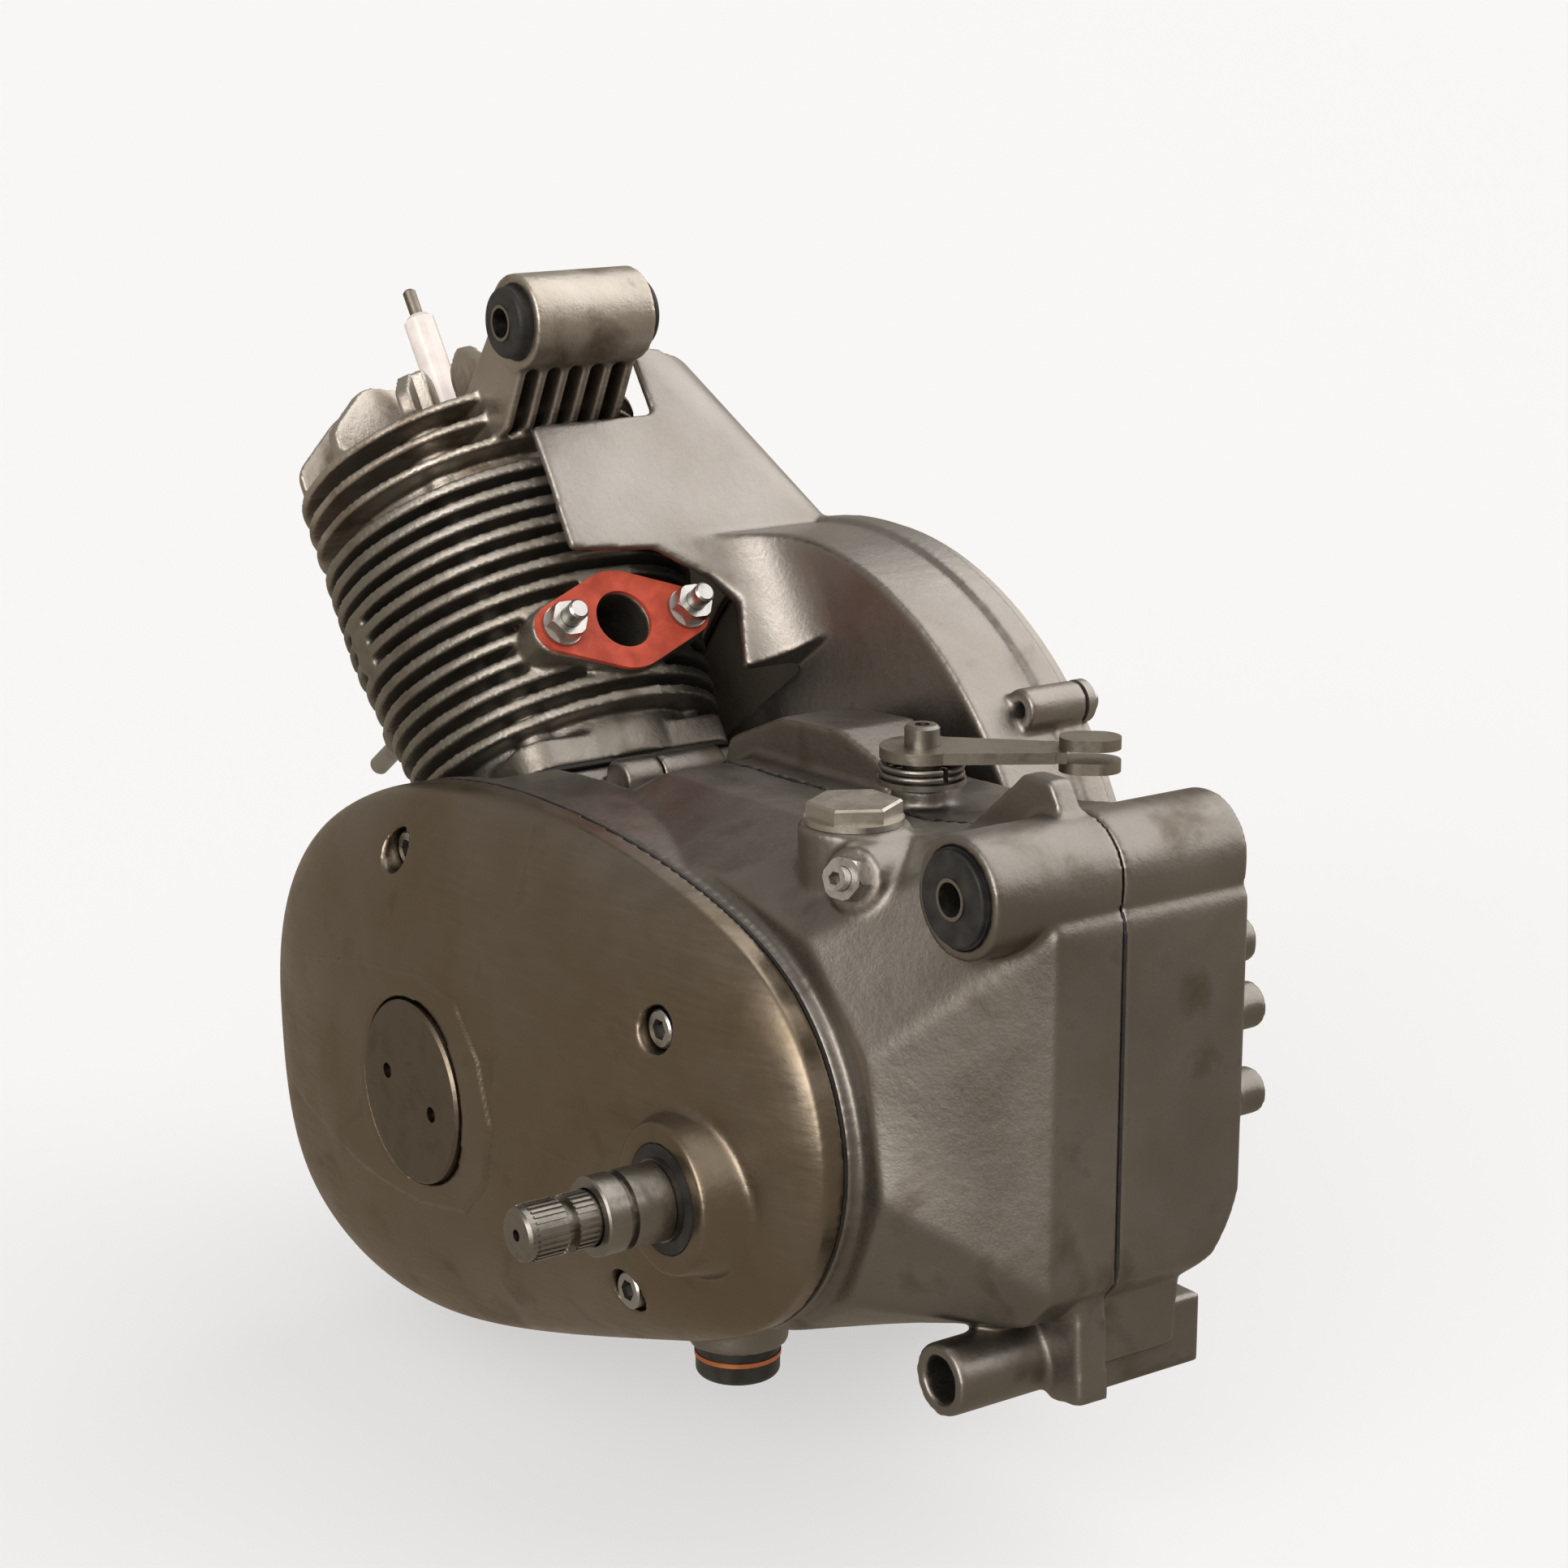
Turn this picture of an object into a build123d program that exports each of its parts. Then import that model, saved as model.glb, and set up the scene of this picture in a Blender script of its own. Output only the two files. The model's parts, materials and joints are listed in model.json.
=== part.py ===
"""Forward-leaning air-cooled two-stroke engine unit with gearbox, blower and kick start.

Frame: millimetres, +X to the rear, +Y to the right (blower side), +Z up.
The origin is the axis of the rear engine mount, on the parting plane of the crankcase.
"""
from build123d import *
from math import acos, cos, pi, radians, sin, sqrt, tan, tanh
import os

os.makedirs("parts", exist_ok=True)

# ---------------------------------------------------------------- driving dimensions
crank_x, crank_z = -183.0, -91.0        # crankshaft axis
barrel_tilt = 35.0                      # forward lean of the cylinder, degrees
bore_radius = 20.0
stroke = 39.5
rod_length = 115.0                      # between the centres of the rod's eyes
crown_height = 28.0                     # wrist pin to piston crown
piston_length = 44.0
deck_height = 73.0                      # crank axis to the cylinder's seat
neck_width = 66.0                       # of the castings below that seat, front to rear
squash_gap = 1.3                        # crown to head face at top dead centre

running_gap = 0.05                      # radial, shaft in its bearing or bush
free_gap = 0.4                          # radial or axial, parts that pass each other
press_gap = 0.01                        # radial, rubber in its tube
seat_gap = 0.1                          # radial, a fixed part in its seat

split_y = 0.0
left_face_y = -53.0                     # seat of the clutch cover
left_wall_y = -34.0                     # back wall of the primary drive space
right_face_y = 39.0                     # flat right face of the right casting
chamber_wall = 3.5
gasket_thickness = 0.8

chamber_radius = 37.5
chamber_half_width = 18.0
web_radius = 36.0
web_width = 9.0
web_gap = 15.6                          # between the two crank webs
pin_radius = 8.0

bearing_outer_radius = 23.5
bearing_width = 14.0
journal_radius = 10.0
small_bearing_radius = 16.0

primary_module = 1.75
pinion_teeth, clutch_teeth = 20, 50
gear_module = 1.75
gear_pairs = ((13, 39), (18, 34))       # teeth on the main shaft and on the output shaft
main_shaft_direction = 16.6             # from the crank, degrees above horizontal
output_shaft_direction = 25.0           # from the main shaft
sprocket_teeth, chain_pitch = 13, 12.7

kick_x, kick_z = -64.8, -85.9
kick_radius = 7.0
kick_end_y = -121.0
shift_radius = 10.1
shift_end_y = -100.5
cover_boss_y = -80.0

cover_dome = 25.0                       # crown of the clutch cover above its rim
cover_rim = 6.0
cover_wall = 3.5
cover_middle = (-188.0, -91.0)          # crown of the dome
cover_front_fullness = 2.6              # exponent of the dome's profile towards the front
cover_rear_fullness = 1.55              # and towards the rear, where it falls away early
cap_radius = 25.7
cap_face_y = -84.5
cover_screws_xz = ((-78.0, -47.0), (-205.0, -29.0), (-94.0, -122.0))
screw_head_radius = 5.0
screw_head_height = 6.0
screw_radius = 3.0
cover_screw_seat_y = -65.0

mount_tube_radius = 15.25
mount_half_length = 39.0
bush_radius = 12.25
bush_length = 26.0
sleeve_radius = 5.1
mount_hole_radius = 4.2
lug_x, lug_z = -7.0, -124.0
lug_radius = 9.3
lug_half_length = 37.0
lug_hole_radius = 6.0

fin_radius = 52.0
low_fin_radius = 46.0
fin_pitch = 6.0
fin_thickness = 3.2
fin_count = 13
first_fin_height = 87.0
jacket_radius = 37.0                    # casting around the bore, the studs and the transfer passages
stud_reach = 24.0                       # stud offset from the bore, both ways
stud_radius = 3.0
spigot_depth = 12.0
head_top = 186.0                        # height of the top of the head's flat part
head_fin_top = 208.0
head_lug_h, head_lug_p = 191.2, 78.4
head_lug_radius = 13.5
head_lug_half_length = 19.5
head_bush_radius = 10.5
head_bush_proud = 4.0

port_radius = 8.7
port_height = 109.0
intake_face = 50.0                      # distance of the intake flange behind the bore axis
intake_stud_spacing = 42.0
exhaust_height = 120.0
exhaust_radius = 11.0
exhaust_stud_spacing = 44.0
exhaust_stud_core = 2.5                 # radius of the part screwed into the cylinder

volute_x, volute_z, volute_radius = -187.0, -66.0, 115.5
volute_left_y, volute_right_y = 47.0, 80.0
shroud_wall = 3.0
duct_back = 60.0                        # outer face of the duct, behind the bore axis
duct_left_y = -13.0
duct_corner = 24.0                      # concave corner between the duct's back and the volute's left wall
fan_radius = 76.0
fan_blades = 20
flywheel_radius = 52.0
inlet_radius = 50.0

lever_x, lever_y = -76.0, 9.0
lever_seat_z = 5.0
lever_length = 47.0
lever_direction = 51.0                  # from +X towards +Y, degrees

magneto_ring_radius = 67.0
chain_side_bosses = ((3.0, -24.0), (7.0, -40.0), (8.0, -62.0))
chain_side_boss_height = 10.0
lever_shaft_radius = 5.0
gearbox_left_y, gearbox_right_y = -28.0, 31.0   # inner faces of the gearbox space
cavity_rear_x = -22.0                   # how far back the deep part of the gearbox space reaches
flange_y = -21.0                        # left face of the rear flange beside the parting plane
barrel_side_reach = 47.0                # the castings stay below the cylinder's seat within this of the middle
cover_inner_scale = 0.955
filler_x, filler_y, filler_seat_z = -55.0, -28.0, 5.0
adjuster_direction = (0.35, -0.9, 0.25)
adjuster_plane = Plane(origin=(-38.8, -40.6, -4.0), x_dir=(1, 0, 0), z_dir=adjuster_direction)
clamp_radius = 6.5
drain_x, drain_y, drain_seat_z = -92.0, -38.0, -142.5
clamp_x, clamp_z = -188.0, -15.0        # clamping boss across the parting plane, before the gearbox
shroud_ears = (42.0, 200.0, 248.0, 296.0, 345.0)     # directions of the rim ears from the volute's centre
seal_radius = 14.0

lean = radians(barrel_tilt)
barrel_top = stroke / 2 + rod_length + crown_height + squash_gap


# ---------------------------------------------------------------- places
def side(y):
    """Sketch plane across the engine at this Y: sketch x is X, sketch y is Z, out to the left."""
    return Plane.XZ.offset(-y)


def at_barrel(h, p=0.0, y=0.0):
    """Point h up the cylinder axis from the crank, p behind that axis and y to the right."""
    return (crank_x - h * sin(lean) + p * cos(lean), y, crank_z + h * cos(lean) + p * sin(lean))


def barrel(h):
    """Sketch plane square to the cylinder axis: sketch x is rearward, sketch y is Y."""
    return Plane(origin=at_barrel(h), x_dir=(cos(lean), 0, sin(lean)), z_dir=(-sin(lean), 0, cos(lean)))


def port_plane(h, p, rear=True):
    """Sketch plane of a port face behind (or before) the bore: sketch x is Y, sketch y is up the barrel."""
    turn = 1 if rear else -1
    return Plane(origin=at_barrel(h, p), x_dir=(0, turn, 0), z_dir=(turn * cos(lean), 0, turn * sin(lean)))


def barrel_side(y):
    """Sketch plane across the engine in the cylinder's frame: sketch x is rearward, sketch y is up."""
    return Plane(origin=(crank_x, y, crank_z), x_dir=(cos(lean), 0, sin(lean)), z_dir=(0, -1, 0))


def from_point(x, z, direction, distance):
    """Point at this distance and direction, degrees above +X, in the side view."""
    return (x + distance * cos(radians(direction)), z + distance * sin(radians(direction)))


primary_distance = primary_module * (pinion_teeth + clutch_teeth) / 2
gear_distance = gear_module * sum(gear_pairs[0]) / 2
main_x, main_z = from_point(crank_x, crank_z, main_shaft_direction, primary_distance)
output_x, output_z = from_point(main_x, main_z, output_shaft_direction, gear_distance)
stud_places = [(p, y) for p in (-stud_reach, stud_reach) for y in (-stud_reach, stud_reach)]


def save(part, name):
    """Label one finished piece and write it as its own file."""
    part.label = name
    export_step(part, "parts/" + name + ".step")


def save_group(parts, name):
    """Write several equal or paired pieces as separate solids of one file."""
    save(Compound(children=list(parts)), name)


# ---------------------------------------------------------------- repeated shapes
def disc_part(x, z, y_low, y_high, outer, inner=0.0, edge=0.0):
    """Disc or ring about a Y axis, with an optional chamfer on its rims."""
    with BuildPart() as ring:
        with BuildSketch(side(y_high)):
            with Locations((x, z)):
                Circle(outer)
                if inner:
                    Circle(inner, mode=Mode.SUBTRACT)
        extrude(amount=y_high - y_low)
        if edge:
            chamfer(ring.edges().filter_by(GeomType.CIRCLE).filter_by(lambda e: abs(e.radius - outer) < 0.01), edge)
    return ring.part


def bearing_part(x, z, y_middle, outer, inner, width):
    """Ball bearing: two races and a ring of balls, as separate solids."""
    race = (outer - inner) * 0.28
    ball = (outer - inner) * 0.21
    pitch = (outer + inner) / 2
    count = int(2 * pi * pitch / (2.6 * ball))
    with BuildPart() as bearing:
        with BuildSketch(side(y_middle + width / 2)):
            with Locations((x, z)):
                Circle(outer)
                Circle(outer - race, mode=Mode.SUBTRACT)
                Circle(inner + race)
                Circle(inner, mode=Mode.SUBTRACT)
        extrude(amount=width)
        with Locations(side(y_middle)):
            with Locations((x, z)):
                with PolarLocations(pitch, count):
                    Sphere(ball)
    return bearing.part


def tooth_angle(teeth, module, radius, slack):
    """Half angle that an involute tooth fills at this radius."""
    pressure = radians(20)
    pitch = module * teeth / 2
    base = pitch * cos(pressure)
    slope = acos(min(1.0, base / radius))
    return pi / (2 * teeth) - slack / (2 * pitch) + (tan(pressure) - pressure) - (tan(slope) - slope)


def gear_points(teeth, module, phase, slack=0.25, flank_steps=4):
    """Outline of a spur gear with stub involute teeth, one tooth centred on phase in degrees."""
    pitch = module * teeth / 2
    tip = pitch + 0.8 * module
    root = pitch - 1.1 * module
    low = max(root, pitch * cos(radians(20)))
    points = []
    for tooth in range(teeth):
        middle = radians(phase) + 2 * pi * tooth / teeth
        radii = [root] + [low + (tip - low) * step / flank_steps for step in range(flank_steps + 1)]
        angles = [tooth_angle(teeth, module, radius, slack) for radius in radii]
        for radius, angle in zip(radii, angles):
            points.append((radius * cos(middle - angle), radius * sin(middle - angle)))
        for radius, angle in zip(reversed(radii), reversed(angles)):
            points.append((radius * cos(middle + angle), radius * sin(middle + angle)))
    return points


def gear_part(x, z, y_low, y_high, teeth, module, phase, hole):
    """Spur gear about a Y axis with a plain bore."""
    with BuildPart() as gear:
        with BuildSketch(side(y_high)):
            with Locations((x, z)):
                Polygon(*gear_points(teeth, module, phase), align=None)
                Circle(hole, mode=Mode.SUBTRACT)
        extrude(amount=y_high - y_low)
    return gear.part


def hex_nut(plane, places, across_flats, height, hole):
    """Hexagon nuts at these places of a plane, chamfered on top, as separate solids."""
    slope = 30.0
    corner = across_flats / sqrt(3)
    cone_foot = across_flats / 2 + 0.3 + height * tan(radians(slope))
    with BuildPart() as nuts:
        with BuildSketch(plane):
            with Locations(*places):
                RegularPolygon(corner, 6)
        extrude(amount=height)
        with BuildSketch(plane):
            with Locations(*places):
                Circle(cone_foot)
        extrude(amount=height, taper=slope, mode=Mode.INTERSECT)
        with BuildSketch(plane):
            with Locations(*places):
                Circle(hole)
        extrude(amount=height, mode=Mode.SUBTRACT)
    return nuts.part


def round_bars(plane, places, radius, length, tip=0.6):
    """Studs at these places of a plane with chamfered ends, as separate solids."""
    with BuildPart() as bars:
        with BuildSketch(plane):
            with Locations(*places):
                Circle(radius)
        extrude(amount=length)
        chamfer(bars.edges().filter_by(GeomType.CIRCLE), tip)
    return bars.part


# ---------------------------------------------------------------- outlines in the side view
egg_points = [(-290, -92), (-268, -38), (-212, -13), (-148, -8), (-82, -16), (-39, -36),
              (-23, -72), (-38, -110), (-92, -138), (-160, -159), (-229, -167), (-274, -148)]


def cover_outline(scale=1.0):
    """Egg outline of the clutch side, optionally shrunk about the crown of the dome."""
    mx, mz = cover_middle
    with BuildLine() as line:
        Spline(*[(mx + (x - mx) * scale, mz + (z - mz) * scale) for x, z in egg_points], periodic=True)
    return line.line


def dome_shrink(rise_share, fullness):
    """How far the dome's outline has shrunk where it has risen by this share of its height."""
    return (1 - rise_share ** fullness) ** (1 / fullness)


def dome_section(rim_y, dome, rise_share, scale):
    """Flat section through the dome at this share of its rise."""
    mx, mz = cover_middle
    front = dome_shrink(rise_share, cover_front_fullness)
    rear = dome_shrink(rise_share, cover_rear_fullness)
    points = []
    for x, z in egg_points:
        rearness = 0.5 + 0.5 * tanh((x - mx) / 60)
        shrink = scale * (front + (rear - front) * rearness)
        points.append((mx + (x - mx) * shrink, mz + (z - mz) * shrink))
    with BuildSketch(side(rim_y - dome * rise_share)) as section:
        with BuildLine():
            Spline(*points, periodic=True)
        make_face()
    return section.sketch


def domed_body(rim_y, dome, scale=1.0):
    """Solid egg-shaped dome standing out to the left from rim_y."""
    with BuildPart() as body:
        for rise_share in (0.0, 0.2, 0.4, 0.6, 0.78, 0.9, 0.965):
            add(dome_section(rim_y, dome, rise_share, scale))
        loft()
    return body.part


def gearbox_outline(inset=0.0):
    """Side outline of the castings behind the crank chamber."""
    with BuildLine() as line:
        FilletPolyline((-205, -30), (-150, -3), (-60, 0), (-14, 8), (16, -6), (16, -100), (6, -110),
                       (-24, -118), (-80, -128), (-190, -136), close=True, radius=8)
    with BuildSketch() as outline:
        with BuildLine():
            add(line.line)
        make_face()
        if inset:
            offset(amount=-inset)
    return outline.sketch


def gearbox_cavity(rear_x=8.0):
    """Side outline of the space for the gearbox, reaching back to rear_x."""
    with BuildSketch() as outline:
        with BuildLine():
            FilletPolyline((-145, -10), (rear_x - 38, -9), (rear_x - 26, -26), (rear_x, -32), (rear_x, -92),
                           (rear_x - 18, -104), (-80, -116), (-145, -124), close=True, radius=5)
        make_face()
        with Locations((crank_x, crank_z)):
            Circle(chamber_radius + chamber_wall, mode=Mode.SUBTRACT)
    return outline.sketch


def primary_space():
    """Side outline of the primary drive space, which stops below the cylinder's seat."""
    above_seat = 100.0
    with BuildSketch() as outline:
        with BuildLine():
            add(cover_outline(cover_inner_scale))
        make_face()
        roof_x, _, roof_z = at_barrel(deck_height - 7 + above_seat / 2)
        with Locations((roof_x, roof_z)):
            Rectangle(3 * above_seat, above_seat, rotation=barrel_tilt, mode=Mode.SUBTRACT)
    return outline.sketch


def case_body(y_inner, y_outer):
    """Common solid of one crankcase half between the parting plane and its outer face."""
    low, high = min(y_inner, y_outer), max(y_inner, y_outer)
    with BuildPart() as body:
        with BuildSketch(side(high)):
            add(gearbox_outline())
            with Locations((crank_x, crank_z)):
                Circle(chamber_radius + 8)
        extrude(amount=high - low)
        with BuildSketch(barrel_side(high)):
            with Locations((0, deck_height / 2)):
                Rectangle(neck_width, deck_height)
        extrude(amount=high - low)
    return body.part


def case_hollows(y_inner, y_outer, wall_y):
    """What is cut from one crankcase half: chamber, spigot bore, gearbox space, studs, mounts."""
    low, high = min(y_inner, y_outer), max(y_inner, y_outer)
    reach = chamber_half_width if y_outer > 0 else -chamber_half_width
    with BuildPart() as hollows:
        with BuildSketch(side(max(y_inner, reach))):
            with Locations((crank_x, crank_z)):
                Circle(chamber_radius)
        extrude(amount=chamber_half_width)
        with BuildSketch(barrel(0)):
            Circle(bore_radius + 4.3)
        extrude(amount=deck_height + 1)
        with BuildSketch(side(max(y_inner, wall_y))):
            add(gearbox_cavity(cavity_rear_x))
        extrude(amount=abs(wall_y - y_inner))
        with BuildSketch(side(max(y_inner, wall_y / 2))):
            add(gearbox_cavity())
        extrude(amount=abs(wall_y / 2 - y_inner))
        with BuildSketch(barrel(deck_height - 24)):
            with Locations(*stud_places):
                Circle(stud_radius + seat_gap)
        extrude(amount=25)
        with BuildSketch(side(mount_half_length + 1)):
            Circle(bush_radius)
            with Locations((lug_x, lug_z)):
                Circle(lug_hole_radius)
        extrude(amount=2 * mount_half_length + 2)
    return hollows.part


# ---------------------------------------------------------------- crankcase castings
with BuildPart() as crankcase_left:
    add(case_body(split_y - gasket_thickness, flange_y))
    with BuildSketch(barrel_side(flange_y)):
        with Locations((0, deck_height / 2)):
            Rectangle(neck_width, deck_height)
    extrude(amount=flange_y - left_wall_y)
    with BuildSketch(side(flange_y)):
        with Locations((crank_x, crank_z)):
            Circle(chamber_radius + 8)
    extrude(amount=flange_y - left_wall_y)
    with BuildSketch(side(flange_y)):
        with BuildLine():
            FilletPolyline((-200, -28), (-150, -3), (-60, 0), (-14, 8), (16, -6), (16, -100), (6, -110),
                           (-24, -118), (-80, -128), (-190, -136), close=True, radius=7)
        make_face()
    with BuildSketch(side(left_face_y + 4)):
        with BuildLine():
            FilletPolyline((-200, -34), (-150, -14), (-84, -12), (-46, -20), (-22, -44), (-14, -78), (-26, -108),
                           (-52, -124), (-84, -134), (-190, -140), close=True, radius=7)
        make_face()
    loft(ruled=True)
    with BuildSketch(side(left_wall_y + 6)):
        with BuildLine():
            add(cover_outline())
        make_face()
    extrude(amount=left_wall_y + 6 - left_face_y)
    with BuildSketch(side(left_wall_y)):
        add(primary_space())
    extrude(amount=40, mode=Mode.SUBTRACT)
    with BuildSketch(side(left_wall_y + 1)):
        with Locations(*cover_screws_xz):
            Circle(7)
    extrude(amount=left_wall_y + 1 - left_face_y)
    with BuildSketch(barrel(deck_height)):
        with Locations((0, 0)):
            Rectangle(160, 2 * barrel_side_reach)
    extrude(amount=60, mode=Mode.SUBTRACT)
    with BuildSketch(side(split_y - gasket_thickness)):
        Circle(mount_tube_radius)
    extrude(amount=mount_half_length - gasket_thickness)
    with BuildSketch(side(split_y - gasket_thickness)):
        with Locations((lug_x, lug_z)):
            Circle(lug_radius)
    extrude(amount=lug_half_length - gasket_thickness)
    with BuildSketch(side(split_y - gasket_thickness)):
        with BuildLine():
            FilletPolyline((-30, -112), (12, -100), (14, -131), (2, -133), (-14, -122), close=True, radius=2)
        make_face()
    extrude(amount=9)
    with BuildSketch(Plane.XY.offset(filler_seat_z - 17)):
        with Locations((filler_x, filler_y)):
            Circle(14)
    extrude(amount=17)
    with BuildSketch(adjuster_plane):
        Circle(8)
    extrude(amount=-18, taper=-18)
    with BuildSketch(side(-2)):
        with BuildLine():
            FilletPolyline((-48, -6), (-13, 23), (-3, 23), (6, 8), (0, 0), close=True, radius=1.5)
        make_face()
    extrude(amount=7)
    with BuildSketch(Plane.XY.offset(drain_seat_z)):
        with Locations((drain_x, drain_y)):
            Circle(13.5)
    extrude(amount=26)
    with BuildSketch(side(split_y - gasket_thickness)):
        with Locations((clamp_x, clamp_z)):
            Circle(clamp_radius)
    extrude(amount=12)
    add(case_hollows(split_y - gasket_thickness, left_wall_y, gearbox_left_y), mode=Mode.SUBTRACT)
    with BuildSketch(side(-chamber_half_width + 1)):
        with Locations((crank_x, crank_z)):
            Circle(bearing_outer_radius)
    extrude(amount=bearing_width + 1, mode=Mode.SUBTRACT)
    with BuildSketch(side(-chamber_half_width + 1)):
        with Locations((crank_x, crank_z)):
            Circle(journal_radius + 4)
        with Locations((main_x, main_z)):
            Circle(small_bearing_radius)
    extrude(amount=40, mode=Mode.SUBTRACT)
    with BuildSketch(side(gearbox_left_y + 1)):
        with Locations((output_x, output_z)):
            Circle(small_bearing_radius)
    extrude(amount=5.4, mode=Mode.SUBTRACT)
    with BuildSketch(side(gearbox_left_y - 1)):
        with Locations((kick_x, kick_z)):
            Circle(kick_radius + running_gap)
    extrude(amount=60, mode=Mode.SUBTRACT)
    with BuildSketch(side(left_wall_y)):
        with Locations(*cover_screws_xz):
            Circle(screw_radius + seat_gap)
    extrude(amount=left_wall_y - left_face_y, mode=Mode.SUBTRACT)
    with BuildSketch(Plane.XY.offset(filler_seat_z - 19)):
        with Locations((filler_x, filler_y)):
            Circle(8 + seat_gap)
    extrude(amount=30, mode=Mode.SUBTRACT)
    with BuildSketch(adjuster_plane):
        Circle(stud_radius + seat_gap)
    extrude(amount=-12, mode=Mode.SUBTRACT)
    with BuildSketch(Plane.XY.offset(drain_seat_z - 1)):
        with Locations((drain_x, drain_y)):
            Circle(9 + seat_gap)
    extrude(amount=14, mode=Mode.SUBTRACT)
save(crankcase_left.part, "crankcase_left")

with BuildPart() as crankcase_right:
    add(case_body(split_y, right_face_y))
    with BuildSketch(Plane.YZ.offset(-60)):
        with BuildLine():
            Polyline((right_face_y + 1, -68), (right_face_y + 1, -160), (14, -160), (14, -112))
            ThreePointArc((14, -112), (32, -98.6), (right_face_y + 1, -68))
        make_face()
    extrude(amount=100, mode=Mode.SUBTRACT)
    with BuildSketch(side(34)):
        with BuildLine():
            FilletPolyline((-176, -34), (-164, 0), (-140, 10), (-112, 12), (-92, 6), (-88, -12), close=True,
                           radius=5)
        make_face()
    extrude(amount=25)
    with BuildSketch(side(mount_half_length)):
        Circle(mount_tube_radius)
    extrude(amount=mount_half_length)
    with BuildSketch(side(lug_half_length)):
        with Locations((lug_x, lug_z)):
            Rectangle(2 * lug_radius + 5, 2 * lug_radius)
    extrude(amount=lug_half_length)
    with BuildSketch(side(26)):
        with BuildLine():
            FilletPolyline((-30, -112), (10, -100), (8, -125), (-16, -125), close=True, radius=2)
        make_face()
    extrude(amount=26)
    with BuildSketch(side(21)):
        with Locations((clamp_x, clamp_z)):
            Circle(clamp_radius)
    extrude(amount=21)
    with BuildSketch(side(volute_left_y)):
        with Locations((crank_x, crank_z)):
            Circle(magneto_ring_radius)
            Circle(magneto_ring_radius - 8, mode=Mode.SUBTRACT)
    extrude(amount=volute_left_y - right_face_y + 8)
    with BuildSketch(side(right_face_y + chain_side_boss_height)):
        with Locations(*chain_side_bosses):
            Circle(6)
    extrude(amount=chain_side_boss_height + 4)
    with BuildSketch(Plane.XY.offset(-10)):
        with Locations((lever_x, lever_y)):
            Circle(8)
    extrude(amount=lever_seat_z + 10)
    add(case_hollows(split_y, right_face_y, gearbox_right_y), mode=Mode.SUBTRACT)
    with BuildSketch(side(chamber_half_width + bearing_width)):
        with Locations((crank_x, crank_z)):
            Circle(bearing_outer_radius)
    extrude(amount=bearing_width + 1, mode=Mode.SUBTRACT)
    with BuildSketch(side(60)):
        with Locations((crank_x, crank_z)):
            Circle(journal_radius + 4)
        with Locations((output_x, output_z)):
            Circle(small_bearing_radius)
    extrude(amount=60 - chamber_half_width, mode=Mode.SUBTRACT)
    with BuildSketch(side(gearbox_right_y + 5)):
        with Locations((main_x, main_z)):
            Circle(small_bearing_radius)
    extrude(amount=6, mode=Mode.SUBTRACT)
    with BuildSketch(Plane.XY.offset(-20)):
        with Locations((lever_x, lever_y)):
            Circle(lever_shaft_radius + running_gap)
    extrude(amount=40, mode=Mode.SUBTRACT)
    with BuildSketch(side(60)):
        with Locations(*chain_side_bosses):
            Circle(2.5)
        with Locations((crank_x, crank_z)):
            with PolarLocations(magneto_ring_radius - 4, 4, start_angle=45):
                Circle(screw_radius - 0.5 + seat_gap)
    extrude(amount=60 - right_face_y + 6, mode=Mode.SUBTRACT)
save(crankcase_right.part, "crankcase_right")

with BuildPart() as case_gasket:
    with BuildSketch(side(split_y)):
        add(gearbox_outline())
        with Locations((crank_x, crank_z)):
            Circle(chamber_radius + 8)
    extrude(amount=gasket_thickness)
    with BuildSketch(barrel_side(split_y)):
        with Locations((0, deck_height / 2)):
            Rectangle(neck_width, deck_height)
    extrude(amount=gasket_thickness)
    add(case_hollows(split_y, -gasket_thickness, -gasket_thickness), mode=Mode.SUBTRACT)
    with BuildSketch(side(split_y)):
        Circle(mount_tube_radius + free_gap)
        with Locations((lug_x, lug_z)):
            Circle(lug_radius + free_gap)
    extrude(amount=gasket_thickness, mode=Mode.SUBTRACT)
save(max(case_gasket.part.solids(), key=lambda s: s.volume), "case_gasket")

# ---------------------------------------------------------------- clutch cover
cover_seat_y = left_face_y - gasket_thickness

with BuildPart() as cover_gasket:
    with BuildSketch(side(left_face_y)):
        with BuildLine():
            add(cover_outline())
        make_face()
        add(primary_space(), mode=Mode.SUBTRACT)
        with Locations(*cover_screws_xz):
            Circle(screw_radius + seat_gap, mode=Mode.SUBTRACT)
    extrude(amount=gasket_thickness)
save(cover_gasket.part, "clutch_cover_gasket")

with BuildPart() as cover_void:
    add(domed_body(cover_seat_y - cover_rim, cover_dome - cover_wall, cover_inner_scale))
    with BuildSketch(side(cover_seat_y + 0.5)):
        with BuildLine():
            add(cover_outline(cover_inner_scale))
        make_face()
    extrude(amount=cover_rim + 0.5)
    with BuildSketch(side(cover_seat_y)):
        with Locations(*cover_screws_xz):
            Circle(8)
    extrude(amount=50, mode=Mode.SUBTRACT)
    with BuildSketch(side(cover_seat_y - 8)):
        with Locations((kick_x, kick_z)):
            Circle(18)
    extrude(amount=50, mode=Mode.SUBTRACT)
    with BuildSketch(side(cap_face_y + 12)):
        with Locations((crank_x, crank_z)):
            Circle(cap_radius + 2)
            Circle(cap_radius - 5.5, mode=Mode.SUBTRACT)
    extrude(amount=50, mode=Mode.SUBTRACT)

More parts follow.
